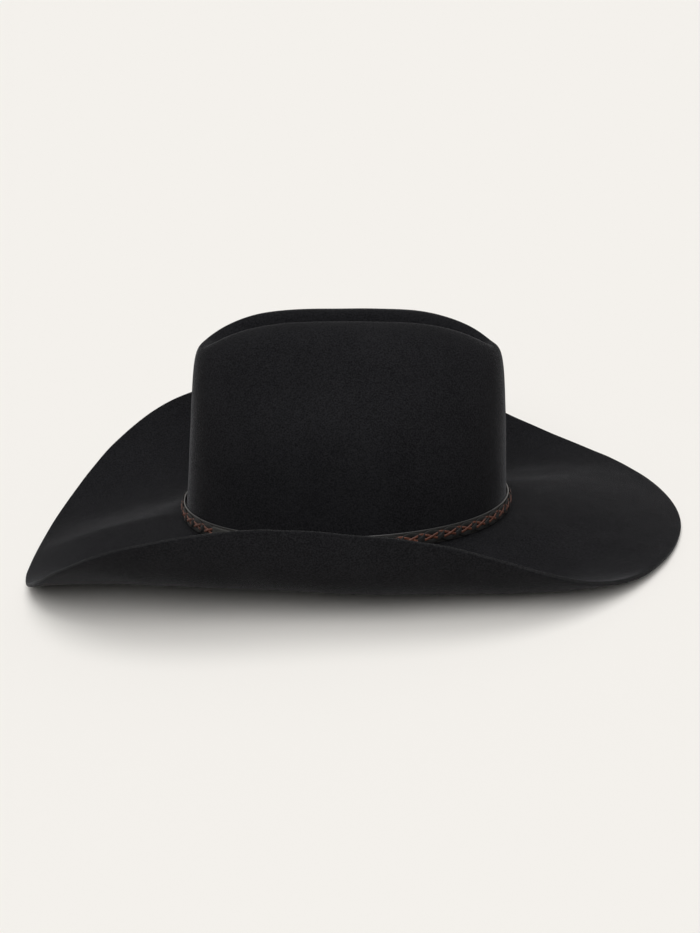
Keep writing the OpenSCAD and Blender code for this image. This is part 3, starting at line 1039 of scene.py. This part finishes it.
# The brown laces cross in the open windows of the braid and dive under the black ones.
BROWN_STOPS = (
    (0, 0.75), (28, 0.45), (50, 0.4), (68, -0.95), (112, -0.95), (130, 0.4), (152, 0.3),
    (180, -0.1), (208, 0.3), (230, 0.4), (248, -0.95), (292, -0.95), (310, 0.4), (332, 0.45),
    (360, 0.75),
)
BLACK_STOPS = (
    (0, 0.75), (12, 0.75), (34, -0.45), (146, -0.45), (168, -0.05), (192, -0.05), (214, -0.45),
    (326, -0.45), (348, 0.75), (360, 0.75),
)


@dataclass(frozen=True)
class Hatband:
    """Leather strap with a flat braid of four laces over it, joined under two tabs.

    The braid's pattern repeats `turns` times around the crown, each repeat drawn in `steps`.
    A lace is thickest along its middle and thins towards its sides. The corners are the
    radii of a section, and the rounds those of a cut end. A map pitch is the length that
    one step of a section takes up in the leather's pattern.
    """

    shop: Shop
    clearance: float = 0.35
    rest: float = 0.08
    foot: float = 0.9
    height: float = 10.0
    thickness: float = 0.9
    corner: float = 0.55
    edge_from: float = 10.6
    gap: float = 0.1
    turns: int = 24
    steps: int = 40
    weave: float = 0.74
    lace_thickness: float = 0.6
    lace_corner: float = 0.28
    lace_middle: float = 1.08
    lace_thinning: float = 0.45
    lace_map_pitch: float = 0.4
    brown: LaceKind = LaceKind(BROWN_LACE, "brown_lace", 1.5, 1.75, 0.6, BROWN_STOPS)
    black: LaceKind = LaceKind(BLACK_LACE, "black_lace", 2.9, 3.0, 0.2, BLACK_STOPS)
    lead: float = 20.0
    tab_start: float = 219.5
    tab_end: float = 262.0
    tab_thickness: float = 1.6
    tab_half_height: float = 4.15
    tab_corner: float = 0.6
    tab_round: float = 0.4
    keeper_width: float = 8.6
    keeper_thickness: float = 0.9
    keeper_round: float = 0.35
    stitch: tuple[float, float, float] = (1.7, 0.5, 0.45)
    stitch_proud: float = 0.3
    stitch_inset: float = 3.6
    stitch_pitch: float = 2.5
    tacks: int = 6

    @property
    def outer(self) -> float:
        """Offset of the strap's face."""
        return self.clearance + self.thickness

    @property
    def middle(self) -> float:
        """Height of the band's middle."""
        return self.foot + self.height / 2

    @property
    def joint(self) -> float:
        """Angle where the tabs meet."""
        return (self.tab_start + self.tab_end) / 2

    def ring(self, angle: float, profile: Profile) -> list[Vector]:
        """Return a profile of outward offsets and heights, set up at an angle."""
        block = self.shop.block
        foot, out = block.break_point(angle), block.outward(angle)
        return [foot + out * offset + Vector((0, 0, height)) for offset, height in profile]

    def moved(self, profile: Profile, offset: float, height: float) -> list[tuple[float, float]]:
        """Return a profile moved out and up."""
        return [(offset + x, height + z) for x, z in profile]

    def build(self) -> None:
        """Build the band."""
        self.strap()
        for kind, laces in (
            (self.brown, {"braid_brown_1": 0, "braid_brown_2": 180}),
            (self.black, {"braid_black_1": 90, "braid_black_2": 270}),
        ):
            leather = kind.leather.make()
            for name, phase in laces.items():
                self.lace(name, phase, kind, leather)
        self.tabs()
        self.keeper()
        self.threads()

    def strap(self) -> None:
        """Build the strap that backs the braid, with its rubbed top edge."""
        thickness = self.outer - self.rest
        profile = self.moved(
            rounded(thickness, self.height, self.corner, steps=5),
            self.rest + thickness / 2, self.middle,
        )
        rings = [self.ring(a, profile) for a in full_round()]
        loft = Loft(rings).weld()
        rubbed = {i for i, (_, height) in enumerate(profile) if height > self.edge_from}
        for face in loft.bm.faces:
            if all(vert[loft.column] in rubbed for vert in face.verts):
                face.material_index = 1
        strap = self.shop.piece(
            "strap", loft.bm, STRAP_LEATHER.make(), "strap_leather", ["hatband_strap"]
        )
        strap.data.materials.append(STRAP_EDGE.make())

    def lace(self, name: str, phase: float, kind: LaceKind, leather: bpy.types.Material) -> None:
        """Build one lace of the braid.

        Args:
            name: Name of the lace's CAD node, and of the piece before its last word.
            phase: Shift along the pattern in degrees.
            kind: Colour and run of the lace.
            leather: Material of the lace.
        """
        slope = kind.swing * self.turns / self.shop.block.mean_radius
        middle = self.outer + self.gap + self.weave + self.lace_thickness / 2
        rings = []
        span = self.tab_start + 360 - self.tab_end
        count = round(span / 360 * self.turns * self.steps)
        for angle in spread(self.tab_end, self.tab_end + span, count):
            turn = angle * self.turns + self.lead + phase
            radians = math.radians(turn)
            centre = self.middle + kind.raised + kind.swing * math.sin(radians)
            half = kind.width / 2 * math.hypot(1, slope * math.cos(radians))
            seat = middle + self.weave * kind.height_over(turn)
            profile = [
                (
                    seat + through * (self.lace_middle - self.lace_thinning * across * across),
                    centre + half * across,
                )
                for through, across in rounded(self.lace_thickness, 2, self.lace_corner)
            ]
            rings.append(self.ring(angle, profile))
        loft = Loft(rings).cap()
        step = math.tau * self.shop.block.mean_radius / self.turns / self.steps
        loft.lay_map(step, self.lace_map_pitch)
        self.shop.piece(name + "_lace", loft.bm, leather, kind.slot, [name])

    def tabs(self) -> None:
        """Build the two tabs that hide the ends of the laces."""
        leather = TAB_LEATHER.make()
        profile = self.moved(
            rounded(self.tab_thickness, 2 * self.tab_half_height, self.tab_corner, steps=4),
            self.outer + self.gap + self.tab_thickness / 2, self.middle,
        )
        slack = self.shop.block.swept(self.gap)
        for name, first, last in (
            ("front", self.tab_start, self.joint - slack),
            ("rear", self.joint + slack, self.tab_end),
        ):
            rings = [self.ring(a, profile) for a in spread(first, last, 17)]
            loft = Loft(rings).cap()
            made = self.shop.piece(
                f"tab_{name}", loft.bm, leather, "tab_leather", [f"hatband_tab_{name}"]
            )
            self.shop.soften(made, self.tab_round)

    def keeper(self) -> None:
        """Build the loop that bridges the joint of the tabs."""
        half = self.tab_half_height + self.gap
        inner = self.outer + 2 * self.gap
        reach = self.outer + self.tab_thickness + 2 * self.gap
        t = self.keeper_thickness
        low, high = self.middle - half, self.middle + half
        profile = [
            (inner, low), (reach, low), (reach, high), (inner, high),
            (inner, high + t), (reach + t, high + t), (reach + t, low - t), (inner, low - t),
        ]
        reach_angle = self.shop.block.swept(self.keeper_width / 2)
        stations = spread(self.joint - reach_angle, self.joint + reach_angle, 7)
        rings = [self.ring(a, profile) for a in stations]
        loft = Loft(rings).cap()
        made = self.shop.piece(
            "keeper", loft.bm, TAB_LEATHER.make(), "tab_leather", ["hatband_keeper"]
        )
        self.shop.soften(made, self.keeper_round)

    def threads(self) -> None:
        """Build the stitches of the tabs and the tacks over the strap's edge."""
        block, thread = self.shop.block, BLACK_THREAD.make()
        length, width, height = self.stitch
        stitches, tacks = Stitching(), Stitching()
        seat = self.outer + self.gap + self.tab_thickness + height * self.stitch_proud
        inset = block.swept(self.stitch_inset)
        for angle in (self.tab_start + inset, self.tab_end - inset):
            for row in (-1, 0, 1):
                middle = self.ring(angle, [(seat, self.middle + row * self.stitch_pitch)])[0]
                stitches.add(
                    middle, Vector((0, 0, 1)), block.outward(angle), Vector((length, width, height))
                )
        top = self.foot + self.height + self.gap
        for tack in range(self.tacks):
            angle = 360 / self.tacks * (tack + 0.5)
            if angle < self.tab_start or angle > self.tab_end + block.swept(length):
                place = (self.clearance + self.thickness / 2, top)
                tacks.add(
                    self.ring(angle, [place])[0], block.outward(angle), Vector((0, 0, 1)),
                    Vector((self.thickness + 2 * self.gap, width, height)),
                )
        self.shop.piece("tab_threads", stitches.bm, thread, "black_thread", ["tab_stitches"])
        self.shop.piece("tack_threads", tacks.bm, thread, "black_thread", ["band_tacks"])


@dataclass(frozen=True)
class Sweatband:
    """Leather band inside the crown, with its reed, tape, joint patch, bow and size tag.

    The rounds are the radii of cut edges. The pleat is the share by which the bow's wrap
    narrows the ribbon, and the waist the share by which the wrap narrows towards its ends.
    A map pitch is the length that one step of a section takes up in a cloth's pattern.
    """

    shop: Shop
    top: float = 50.0
    drop: float = 1.5
    near: float = 3.9
    thickness: float = 1.0
    edge_round: float = 0.4
    gap: float = 0.4
    trim_gap: float = 0.1
    reed_radius: float = 0.9
    reed_points: int = 14
    tape_thickness: float = 0.4
    tape_map_pitch: float = 0.35
    row_height: float = 2.0
    stitch: tuple[float, float, float] = (1.8, 0.5, 0.45)
    stitch_pitch: float = 3.0
    patch_width: float = 20.0
    patch_thickness: float = 0.7
    patch_inset: float = 2.0
    patch_round: float = 0.3
    patch_pitch: float = 4.6
    bow_height: float = 17.0
    bow_width: float = 30.0
    loop_depth: float = 3.0
    ribbon_height: float = 5.0
    ribbon_thickness: float = 0.5
    ribbon_corner: float = 0.2
    ribbon_pleat: float = 0.35
    ribbon_map: tuple[float, float] = (0.9, 0.6)
    wrap_width: float = 1.8
    wrap_corner: float = 0.9
    wrap_waist: float = 0.12
    wrap_sections: int = 9
    wrap_map_pitch: float = 0.5
    tag_angle: float = 18.0
    tag_width: float = 11.0
    tag_length: float = 14.0
    tag_rise: float = 3.0
    tag_thickness: float = 0.3
    tag_corner: float = 1.4

    @property
    def far(self) -> float:
        """Depth of the sweatband's inner face."""
        return self.near + self.thickness

    @property
    def patch_near(self) -> float:
        """Depth of the patch's outer face."""
        return self.far + self.gap

    def build(self) -> None:
        """Build the sweatband and what is sewn to it."""
        self.band()
        self.reed()
        self.patch()
        self.bow()
        self.tag()

    def layer(
        self, angle: float, heights: Sequence[float], near: float, far: float
    ) -> list[Vector]:
        """Return a closed section of a layer on the inside of the crown.

        Args:
            angle: Angle of the section.
            heights: Heights of its points, from the lowest.
            near: Depth of its outer face.
            far: Depth of its inner face.

        Returns:
            The points up the inner face and back down the outer one.
        """
        block = self.shop.block
        up = [block.inside(angle, h, far) for h in heights]
        return up + [block.inside(angle, h, near) for h in reversed(heights)]

    def sew(
        self, stitches: Stitching, angle: float, height: float, depth: float, upright: bool
    ) -> None:
        """Sew one stitch into an inner layer.

        Args:
            stitches: Where the stitch goes.
            angle: Angle of its middle.
            height: Height of its middle.
            depth: Depth of the face that it lies on.
            upright: Whether it runs up, and not along, the layer.
        """
        block = self.shop.block
        length, width, thick = self.stitch
        along = block.inside(angle + 1, height, depth) - block.inside(angle - 1, height, depth)
        up = block.inside(angle, height + 1, depth) - block.inside(angle, height - 1, depth)
        inward = up.cross(along).normalized()
        if inward.dot(block.outward(angle)) > 0:
            inward.negate()
        middle = block.inside(angle, height, depth + self.gap * 0.5)
        stitches.add(middle, up if upright else along, inward, Vector((length, width, thick)))

    def band(self) -> None:
        """Build the band and the row of stitches along its foot."""
        heights = [-self.drop, 0, *spread(2, self.top, 13)]
        rings = [self.layer(a, heights, self.near, self.far) for a in full_round()]
        loft = Loft(rings).weld()
        band = self.shop.piece(
            "sweatband_leather", loft.bm, SWEATBAND_LEATHER.make(), "sweatband_leather",
            ["sweatband"],
        )
        self.shop.soften(band, self.edge_round)
        block, row = self.shop.block, Stitching()
        clear = block.swept(self.patch_width / 2 + self.stitch[0])
        count = round((360 - 2 * clear) / block.swept(self.stitch_pitch))
        for angle in spread(clear, 360 - clear, count):
            self.sew(row, angle, self.row_height + self.stitch[1] / 2, self.far, False)
        self.shop.piece(
            "sweatband_threads", row.bm, TAN_THREAD.make(), "tan_thread", ["sweatband_stitches"]
        )

    def reed(self) -> None:
        """Build the reed and the tape folded under it."""
        block = self.shop.block
        middle_depth = (self.near + self.far) / 2
        fall = self.drop + self.reed_radius + self.trim_gap

        def section(angle: float, shape: Profile) -> list[Vector]:
            """Return points at radii and turns about the reed's middle."""
            middle = block.inside(angle, 0, middle_depth) - Vector((0, 0, fall))
            out = block.outward(angle)
            return [
                middle + out * radius * math.cos(turn) + Vector((0, 0, radius * math.sin(turn)))
                for radius, turn in shape
            ]

        angles = full_round()
        count = self.reed_points
        cord = [(self.reed_radius, math.tau * i / count) for i in range(count)]
        rings = [section(a, cord) for a in angles]
        loft = Loft(rings).weld()
        self.shop.piece(
            "reed", loft.bm, REED_PLASTIC.make(), "reed_plastic", ["sweatband_reed"]
        )
        near = self.reed_radius + self.trim_gap
        far = near + self.tape_thickness
        turns = spread(math.pi, math.tau, 13)
        fold = [(near, t) for t in turns] + [(far, t) for t in reversed(turns)]
        rings = [section(a, fold) for a in angles]
        loft = Loft(rings).weld()
        loft.lay_map(math.tau * block.mean_radius / STATIONS, self.tape_map_pitch)
        self.shop.piece("tape", loft.bm, REED_TAPE.make(), "reed_tape", ["reed_tape"])

    def patch(self) -> None:
        """Build the patch over the band's joint and its stitches."""
        block = self.shop.block
        near, far = self.patch_near, self.patch_near + self.patch_thickness
        heights = spread(self.patch_inset, self.top - self.patch_inset, 13)
        half = block.swept(self.patch_width / 2)
        rings = [self.layer(a, heights, near, far) for a in spread(-half, half, 9)]
        loft = Loft(rings).cap()
        patch = self.shop.piece(
            "joint_patch", loft.bm, PATCH_LEATHER.make(), "patch_leather", ["seam_patch"]
        )
        self.shop.soften(patch, self.patch_round)
        rows = Stitching()
        side = block.swept(self.patch_width / 2 - self.patch_inset)
        first = 2 * self.patch_inset + self.stitch[0] / 2
        count = int((self.top - 2 * first) // self.patch_pitch) + 1
        for angle in (-side, side):
            for index in range(count):
                self.sew(rows, angle, first + index * self.patch_pitch, far, True)
        self.shop.piece(
            "patch_threads", rows.bm, TAN_THREAD.make(), "tan_thread", ["seam_patch_stitches"]
        )

    def bow(self) -> None:
        """Build the bow, which leans back against the band as the crown's wall does."""
        block = self.shop.block
        depth = self.patch_near + self.patch_thickness + self.stitch[2] + 3 * self.gap
        front = block.inside(0, self.bow_height, depth)
        centre = front - Vector((self.loop_depth / 2, 0, 0))
        place = Matrix.Translation(centre) @ Matrix.Rotation(math.radians(-block.wall_lean), 4, "Y")
        ribbon = BOW_RIBBON.make()
        self.bow_loops(place, ribbon)
        self.bow_wrap(place, ribbon)

    def bow_loops(self, place: Matrix, ribbon: bpy.types.Material) -> None:
        """Build the bow's two loops.

        Args:
            place: Move that sets the bow in its place.
            ribbon: Material of the bow.
        """
        reach = self.loop_depth / 2
        half = (self.bow_width / 2 - self.wrap_width / 2 - self.trim_gap) / 2
        loops = bmesh.new()
        for side in (-1, 1):
            rings = []
            for turn in spread(0, math.tau, 41):
                # The ribbon is pleated narrow where the wrap grips it.
                grip = (1 + math.cos(turn)) / 2
                rise = self.ribbon_height / 2 * (1 - self.ribbon_pleat * grip ** 3)
                ring = []
                for across, up in rounded(self.ribbon_thickness, 2, self.ribbon_corner):
                    x = (reach - self.ribbon_thickness / 2 + across) * math.sin(turn)
                    y = (half - self.ribbon_thickness / 2 + across) * math.cos(turn)
                    middle = side * (self.bow_width / 2 - half)
                    ring.append(place @ Vector((x, middle - side * y, up * rise)))
                rings.append(ring)
            loft = Loft(rings).weld().lay_map(*self.ribbon_map)
            kept = bpy.data.meshes.new("loop")
            loft.bm.to_mesh(kept)
            loft.bm.free()
            loops.from_mesh(kept)
            bpy.data.meshes.remove(kept)
        self.shop.piece("bow_loops", loops, ribbon, "ribbon", ["bow_ribbon"])

    def bow_wrap(self, place: Matrix, ribbon: bpy.types.Material) -> None:
        """Build the wrap that holds the loops.

        Args:
            place: Move that sets the bow in its place.
            ribbon: Material of the bow.
        """
        rings = []
        for y in spread(-1, 1, self.wrap_sections):
            waist = 1 - self.wrap_waist * y ** 4
            outline = rounded(
                self.loop_depth * waist, (self.ribbon_height + 2 * self.ribbon_thickness) * waist,
                self.wrap_corner, steps=4,
            )
            rings.append([place @ Vector((x, y * self.wrap_width / 2, z)) for x, z in outline])
        step = self.wrap_width / (self.wrap_sections - 1)
        loft = Loft(rings).cap().lay_map(step, self.wrap_map_pitch)
        self.shop.piece("bow_knot", loft.bm, ribbon, "ribbon", ["bow_wrap"])

    def tag(self) -> None:
        """Build the blank size tag with its round corners."""
        block = self.shop.block
        near = self.far + self.gap
        low = self.top + self.tag_rise - self.tag_length
        rings = []
        for x in spread(-1, 1, 21):
            side = self.tag_width / 2 * x
            short = max(0.0, abs(side) - (self.tag_width / 2 - self.tag_corner))
            cut = self.tag_corner - math.sqrt(max(0.0, self.tag_corner ** 2 - short ** 2))
            heights = spread(low + cut, low + self.tag_length - cut, 9)
            angle = self.tag_angle + block.swept(side)
            rings.append(self.layer(angle, heights, near, near + self.tag_thickness))
        loft = Loft(rings).cap()
        self.shop.piece("tag", loft.bm, TAG_CARD.make(), "tag_paper", ["size_tag"])


@dataclass(frozen=True)
class Lining:
    """Satin lining in two panels, with a cord laid over the seam between them."""

    shop: Shop
    near: float = 3.0
    thickness: float = 0.5
    gap: float = 0.4
    foot: float = 26.0
    sweatband_top: float = 50.0
    seam_drop: float = 9.0
    piping: float = 0.8
    piping_points: int = 12
    piping_map_pitch: float = 0.4
    pleats: int = 72
    pleat_depth: float = 0.55
    pleat_rise: float = 20.0
    side_rows: int = 25
    tip_rows: int = 14
    tip_map_pitch: float = 2.5
    columns: int = 288
    weld: float = 0.2
    stitch: tuple[float, float, float] = (1.7, 0.5, 0.45)
    stitches: int = 96
    side_cut: tuple[float, float] = (0.56, 0.1)
    tip_cut: tuple[float, float] = (0.19, 0.11)
    tip_area: float = 0.0164

    @property
    def middle(self) -> float:
        """Depth of the middle of the cloth."""
        return self.near + self.thickness / 2

    @property
    def seam(self) -> float:
        """Height of the seam between side and tip."""
        return self.shop.block.crown_height - self.seam_drop

    def build(self) -> None:
        """Build the lining."""
        satin = LINING_SATIN.make()
        self.side(satin)
        self.tip(satin)
        self.cord()

    def thicken(self, piece: bpy.types.Object) -> None:
        """Give a sheet of cloth its thickness, half to each side."""
        wall = piece.modifiers.new("cloth_thickness", "SOLIDIFY")
        wall.thickness = self.thickness * MM
        wall.offset = 0

    def side(self, satin: bpy.types.Material) -> None:
        """Build the side panel, gathered into small pleats above the sweatband."""
        block = self.shop.block
        angles = [360 * i / self.columns for i in range(self.columns)]
        rings = []
        for height in spread(self.foot, self.seam, self.side_rows):
            fullness = ease((height - self.sweatband_top) / self.pleat_rise) * self.pleat_depth
            rings.append([
                block.inside(
                    a, height,
                    self.middle + fullness * (0.5 - 0.5 * math.cos(math.radians(a * self.pleats))),
                )
                for a in angles
            ])
        loft = Loft(rings).face_up()
        rise = (self.seam - self.foot) / (self.side_rows - 1)
        loft.lay_map(rise, math.tau * block.mean_radius / self.columns)
        side = self.shop.piece(
            "lining_wall", loft.bm, satin, "lining_satin", ["lining_side"], False
        )
        self.thicken(side)

    def tip(self, satin: bpy.types.Material) -> None:
        """Build the tip, which lies against the top of the crown."""
        block = self.shop.block
        angles = [(i + 0.5) * 360 / self.columns for i in range(self.columns)]
        rings = [
            [block.under_crease(a, s, self.middle) for a in angles]
            for s in spread(1, 0, self.tip_rows)
        ]
        for height in spread(block.crown_height, self.seam, 5)[1:]:
            rings.append([block.inside(a, height, self.middle) for a in angles])
        loft = Loft(rings).weld(self.weld)
        loft.lay_map(self.tip_map_pitch, math.tau * block.mean_radius / self.columns)
        tip = self.shop.piece(
            "lining_crown", loft.face_up().bm, satin, "lining_satin", ["lining_tip"], False
        )
        self.thicken(tip)

    def cord(self) -> None:
        """Build the piping over the seam and the stitches under it."""
        block = self.shop.block
        depth = self.near + self.thickness + self.gap / 2 + self.piping
        turns = [math.tau * i / self.piping_points for i in range(self.piping_points)]
        rings = []
        for angle in full_round():
            middle = block.inside(angle, self.seam, depth)
            inward = (middle - block.inside(angle, self.seam, depth - 1)).normalized()
            rings.append([
                middle + inward * self.piping * math.cos(turn)
                + Vector((0, 0, self.piping * math.sin(turn)))
                for turn in turns
            ])
        loft = Loft(rings).weld()
        loft.lay_map(math.tau * block.mean_radius / STATIONS, self.piping_map_pitch)
        self.shop.piece(
            "seam_piping", loft.bm, PIPING_SATIN.make(), "piping_satin", ["lining_piping"]
        )
        row = Stitching()
        length, width, thick = self.stitch
        height = self.seam - 2 * self.piping
        for index in range(self.stitches):
            angle = 360 * (index + 0.5) / self.stitches
            ahead = block.inside(angle + 1, height, self.near)
            along = ahead - block.inside(angle - 1, height, self.near)
            middle = block.inside(angle, height, self.near + self.thickness + self.gap)
            inward = middle - block.inside(angle, height, self.near)
            row.add(middle, along, inward, Vector((length, width, thick)))
        self.shop.piece(
            "lining_threads", row.bm, BLACK_THREAD.make(), "black_thread", ["lining_stitches"]
        )


# ---------------------------------------------------------------- the studio


@dataclass(frozen=True)
class Studio:
    """Pale paper sweep, two broad soft lamps high in front and overhead, and the camera."""

    floor_size: float = 60.0
    paper: str = "#f4f1ec"
    sky: float = 0.14
    key: float = 2.15
    key_angle: float = 50.0
    key_from: tuple[float, float, float] = (0.0, -0.8, 0.8)
    fill: float = 1.18
    fill_angle: float = 50.0
    fill_from: tuple[float, float, float] = (0.0, 0.0, 1.0)
    eye: tuple[float, float, float] = (0.02657, -0.94552, 0.37139)
    aim: tuple[float, float, float] = (0.00105, 0.0, 0.04682)
    roll: float = 4.496
    lens: float = 59.46

    def build(self) -> None:
        """Build the studio."""
        self.floor()
        self.world()
        self.lamps()
        self.camera()

    def paper_finish(self) -> bpy.types.Material:
        """Make the matt coated paper of the sweep, which shows no grain from this far."""
        made = bpy.data.materials.new("matt_backdrop_paper")
        made.use_nodes = True
        tree = made.node_tree
        tree.nodes.clear()
        shader = add_node(
            tree, "ShaderNodeBsdfDiffuse", {"Color": linear(self.paper), "Roughness": 0.0}
        )
        add_node(tree, "ShaderNodeOutputMaterial", links={"Surface": shader.outputs["BSDF"]})
        return made

    def floor(self) -> None:
        """Build the floor."""
        bm = bmesh.new()
        bmesh.ops.create_grid(bm, x_segments=8, y_segments=8, size=self.floor_size / 2)
        made = set_out("floor", bm, self.paper_finish())

    def world(self) -> None:
        """Build the surroundings: a little plain light, with the paper's colour seen behind."""
        world = bpy.data.worlds.new("studio")
        bpy.context.scene.world = world
        world.use_nodes = True
        tree = world.node_tree
        tree.nodes.clear()
        path = add_node(tree, "ShaderNodeLightPath")
        glow = add_node(
            tree, "ShaderNodeBackground", {"Color": (1, 1, 1, 1), "Strength": self.sky}
        )
        seen = add_node(
            tree, "ShaderNodeBackground", {"Color": linear(self.paper), "Strength": 1.0}
        )
        some = add_node(
            tree, "ShaderNodeMath", {"operation": "MAXIMUM"},
            {0: path.outputs["Is Camera Ray"], 1: path.outputs["Is Glossy Ray"]},
        )
        either = add_node(
            tree, "ShaderNodeMath", {"operation": "MAXIMUM"},
            {0: some.outputs[0], 1: path.outputs["Is Transmission Ray"]},
        )
        mixed = add_node(
            tree, "ShaderNodeMixShader",
            links={0: either.outputs[0], 1: glow.outputs[0], 2: seen.outputs[0]},
        )
        add_node(tree, "ShaderNodeOutputWorld", links={"Surface": mixed.outputs[0]})

    def lamp(self, name: str, strength: float, angle: float, source: Sequence[float]) -> None:
        """Hang one large soft lamp, far away.

        Args:
            name: Name of the lamp.
            strength: Strength of its light.
            angle: How wide it is seen from the hat, in degrees.
            source: Direction that it shines from.
        """
        light = bpy.data.lights.new(name, "SUN")
        light.energy = strength
        light.angle = math.radians(angle)
        made = bpy.data.objects.new(name, light)
        made.rotation_euler = Vector(source).to_track_quat("Z", "Y").to_euler()
        bpy.context.scene.collection.objects.link(made)

    def lamps(self) -> None:
        """Hang the broad main lamp high in front, and the weaker one overhead."""
        self.lamp("key", self.key, self.key_angle, self.key_from)
        self.lamp("fill", self.fill, self.fill_angle, self.fill_from)

    def camera(self) -> None:
        """Set up the camera."""
        lens = bpy.data.cameras.new("camera")
        lens.lens = self.lens
        lens.sensor_width = 36
        lens.clip_end = 200
        made = bpy.data.objects.new("camera", lens)
        back = (Vector(self.eye) - Vector(self.aim)).normalized()
        lean = math.radians(self.roll)
        right = Vector((math.sin(lean), 0, math.cos(lean))).cross(back).normalized()
        turned = Matrix((right, back.cross(right), back)).transposed()
        made.matrix_world = Matrix.Translation(self.eye) @ turned.to_4x4()
        bpy.context.scene.collection.objects.link(made)
        bpy.context.scene.camera = made


def main() -> None:
    """Build the studio and the hat, piece by piece."""
    logging.basicConfig(level=logging.INFO, format="%(name)s: %(message)s")
    bpy.context.scene.view_settings.view_transform = "Standard"
    Studio().build()
    shop = Shop(HatBlock())
    for part in (FeltBody(shop), Hatband(shop), Sweatband(shop), Lining(shop)):
        part.build()


if __name__ == "__main__":
    main()
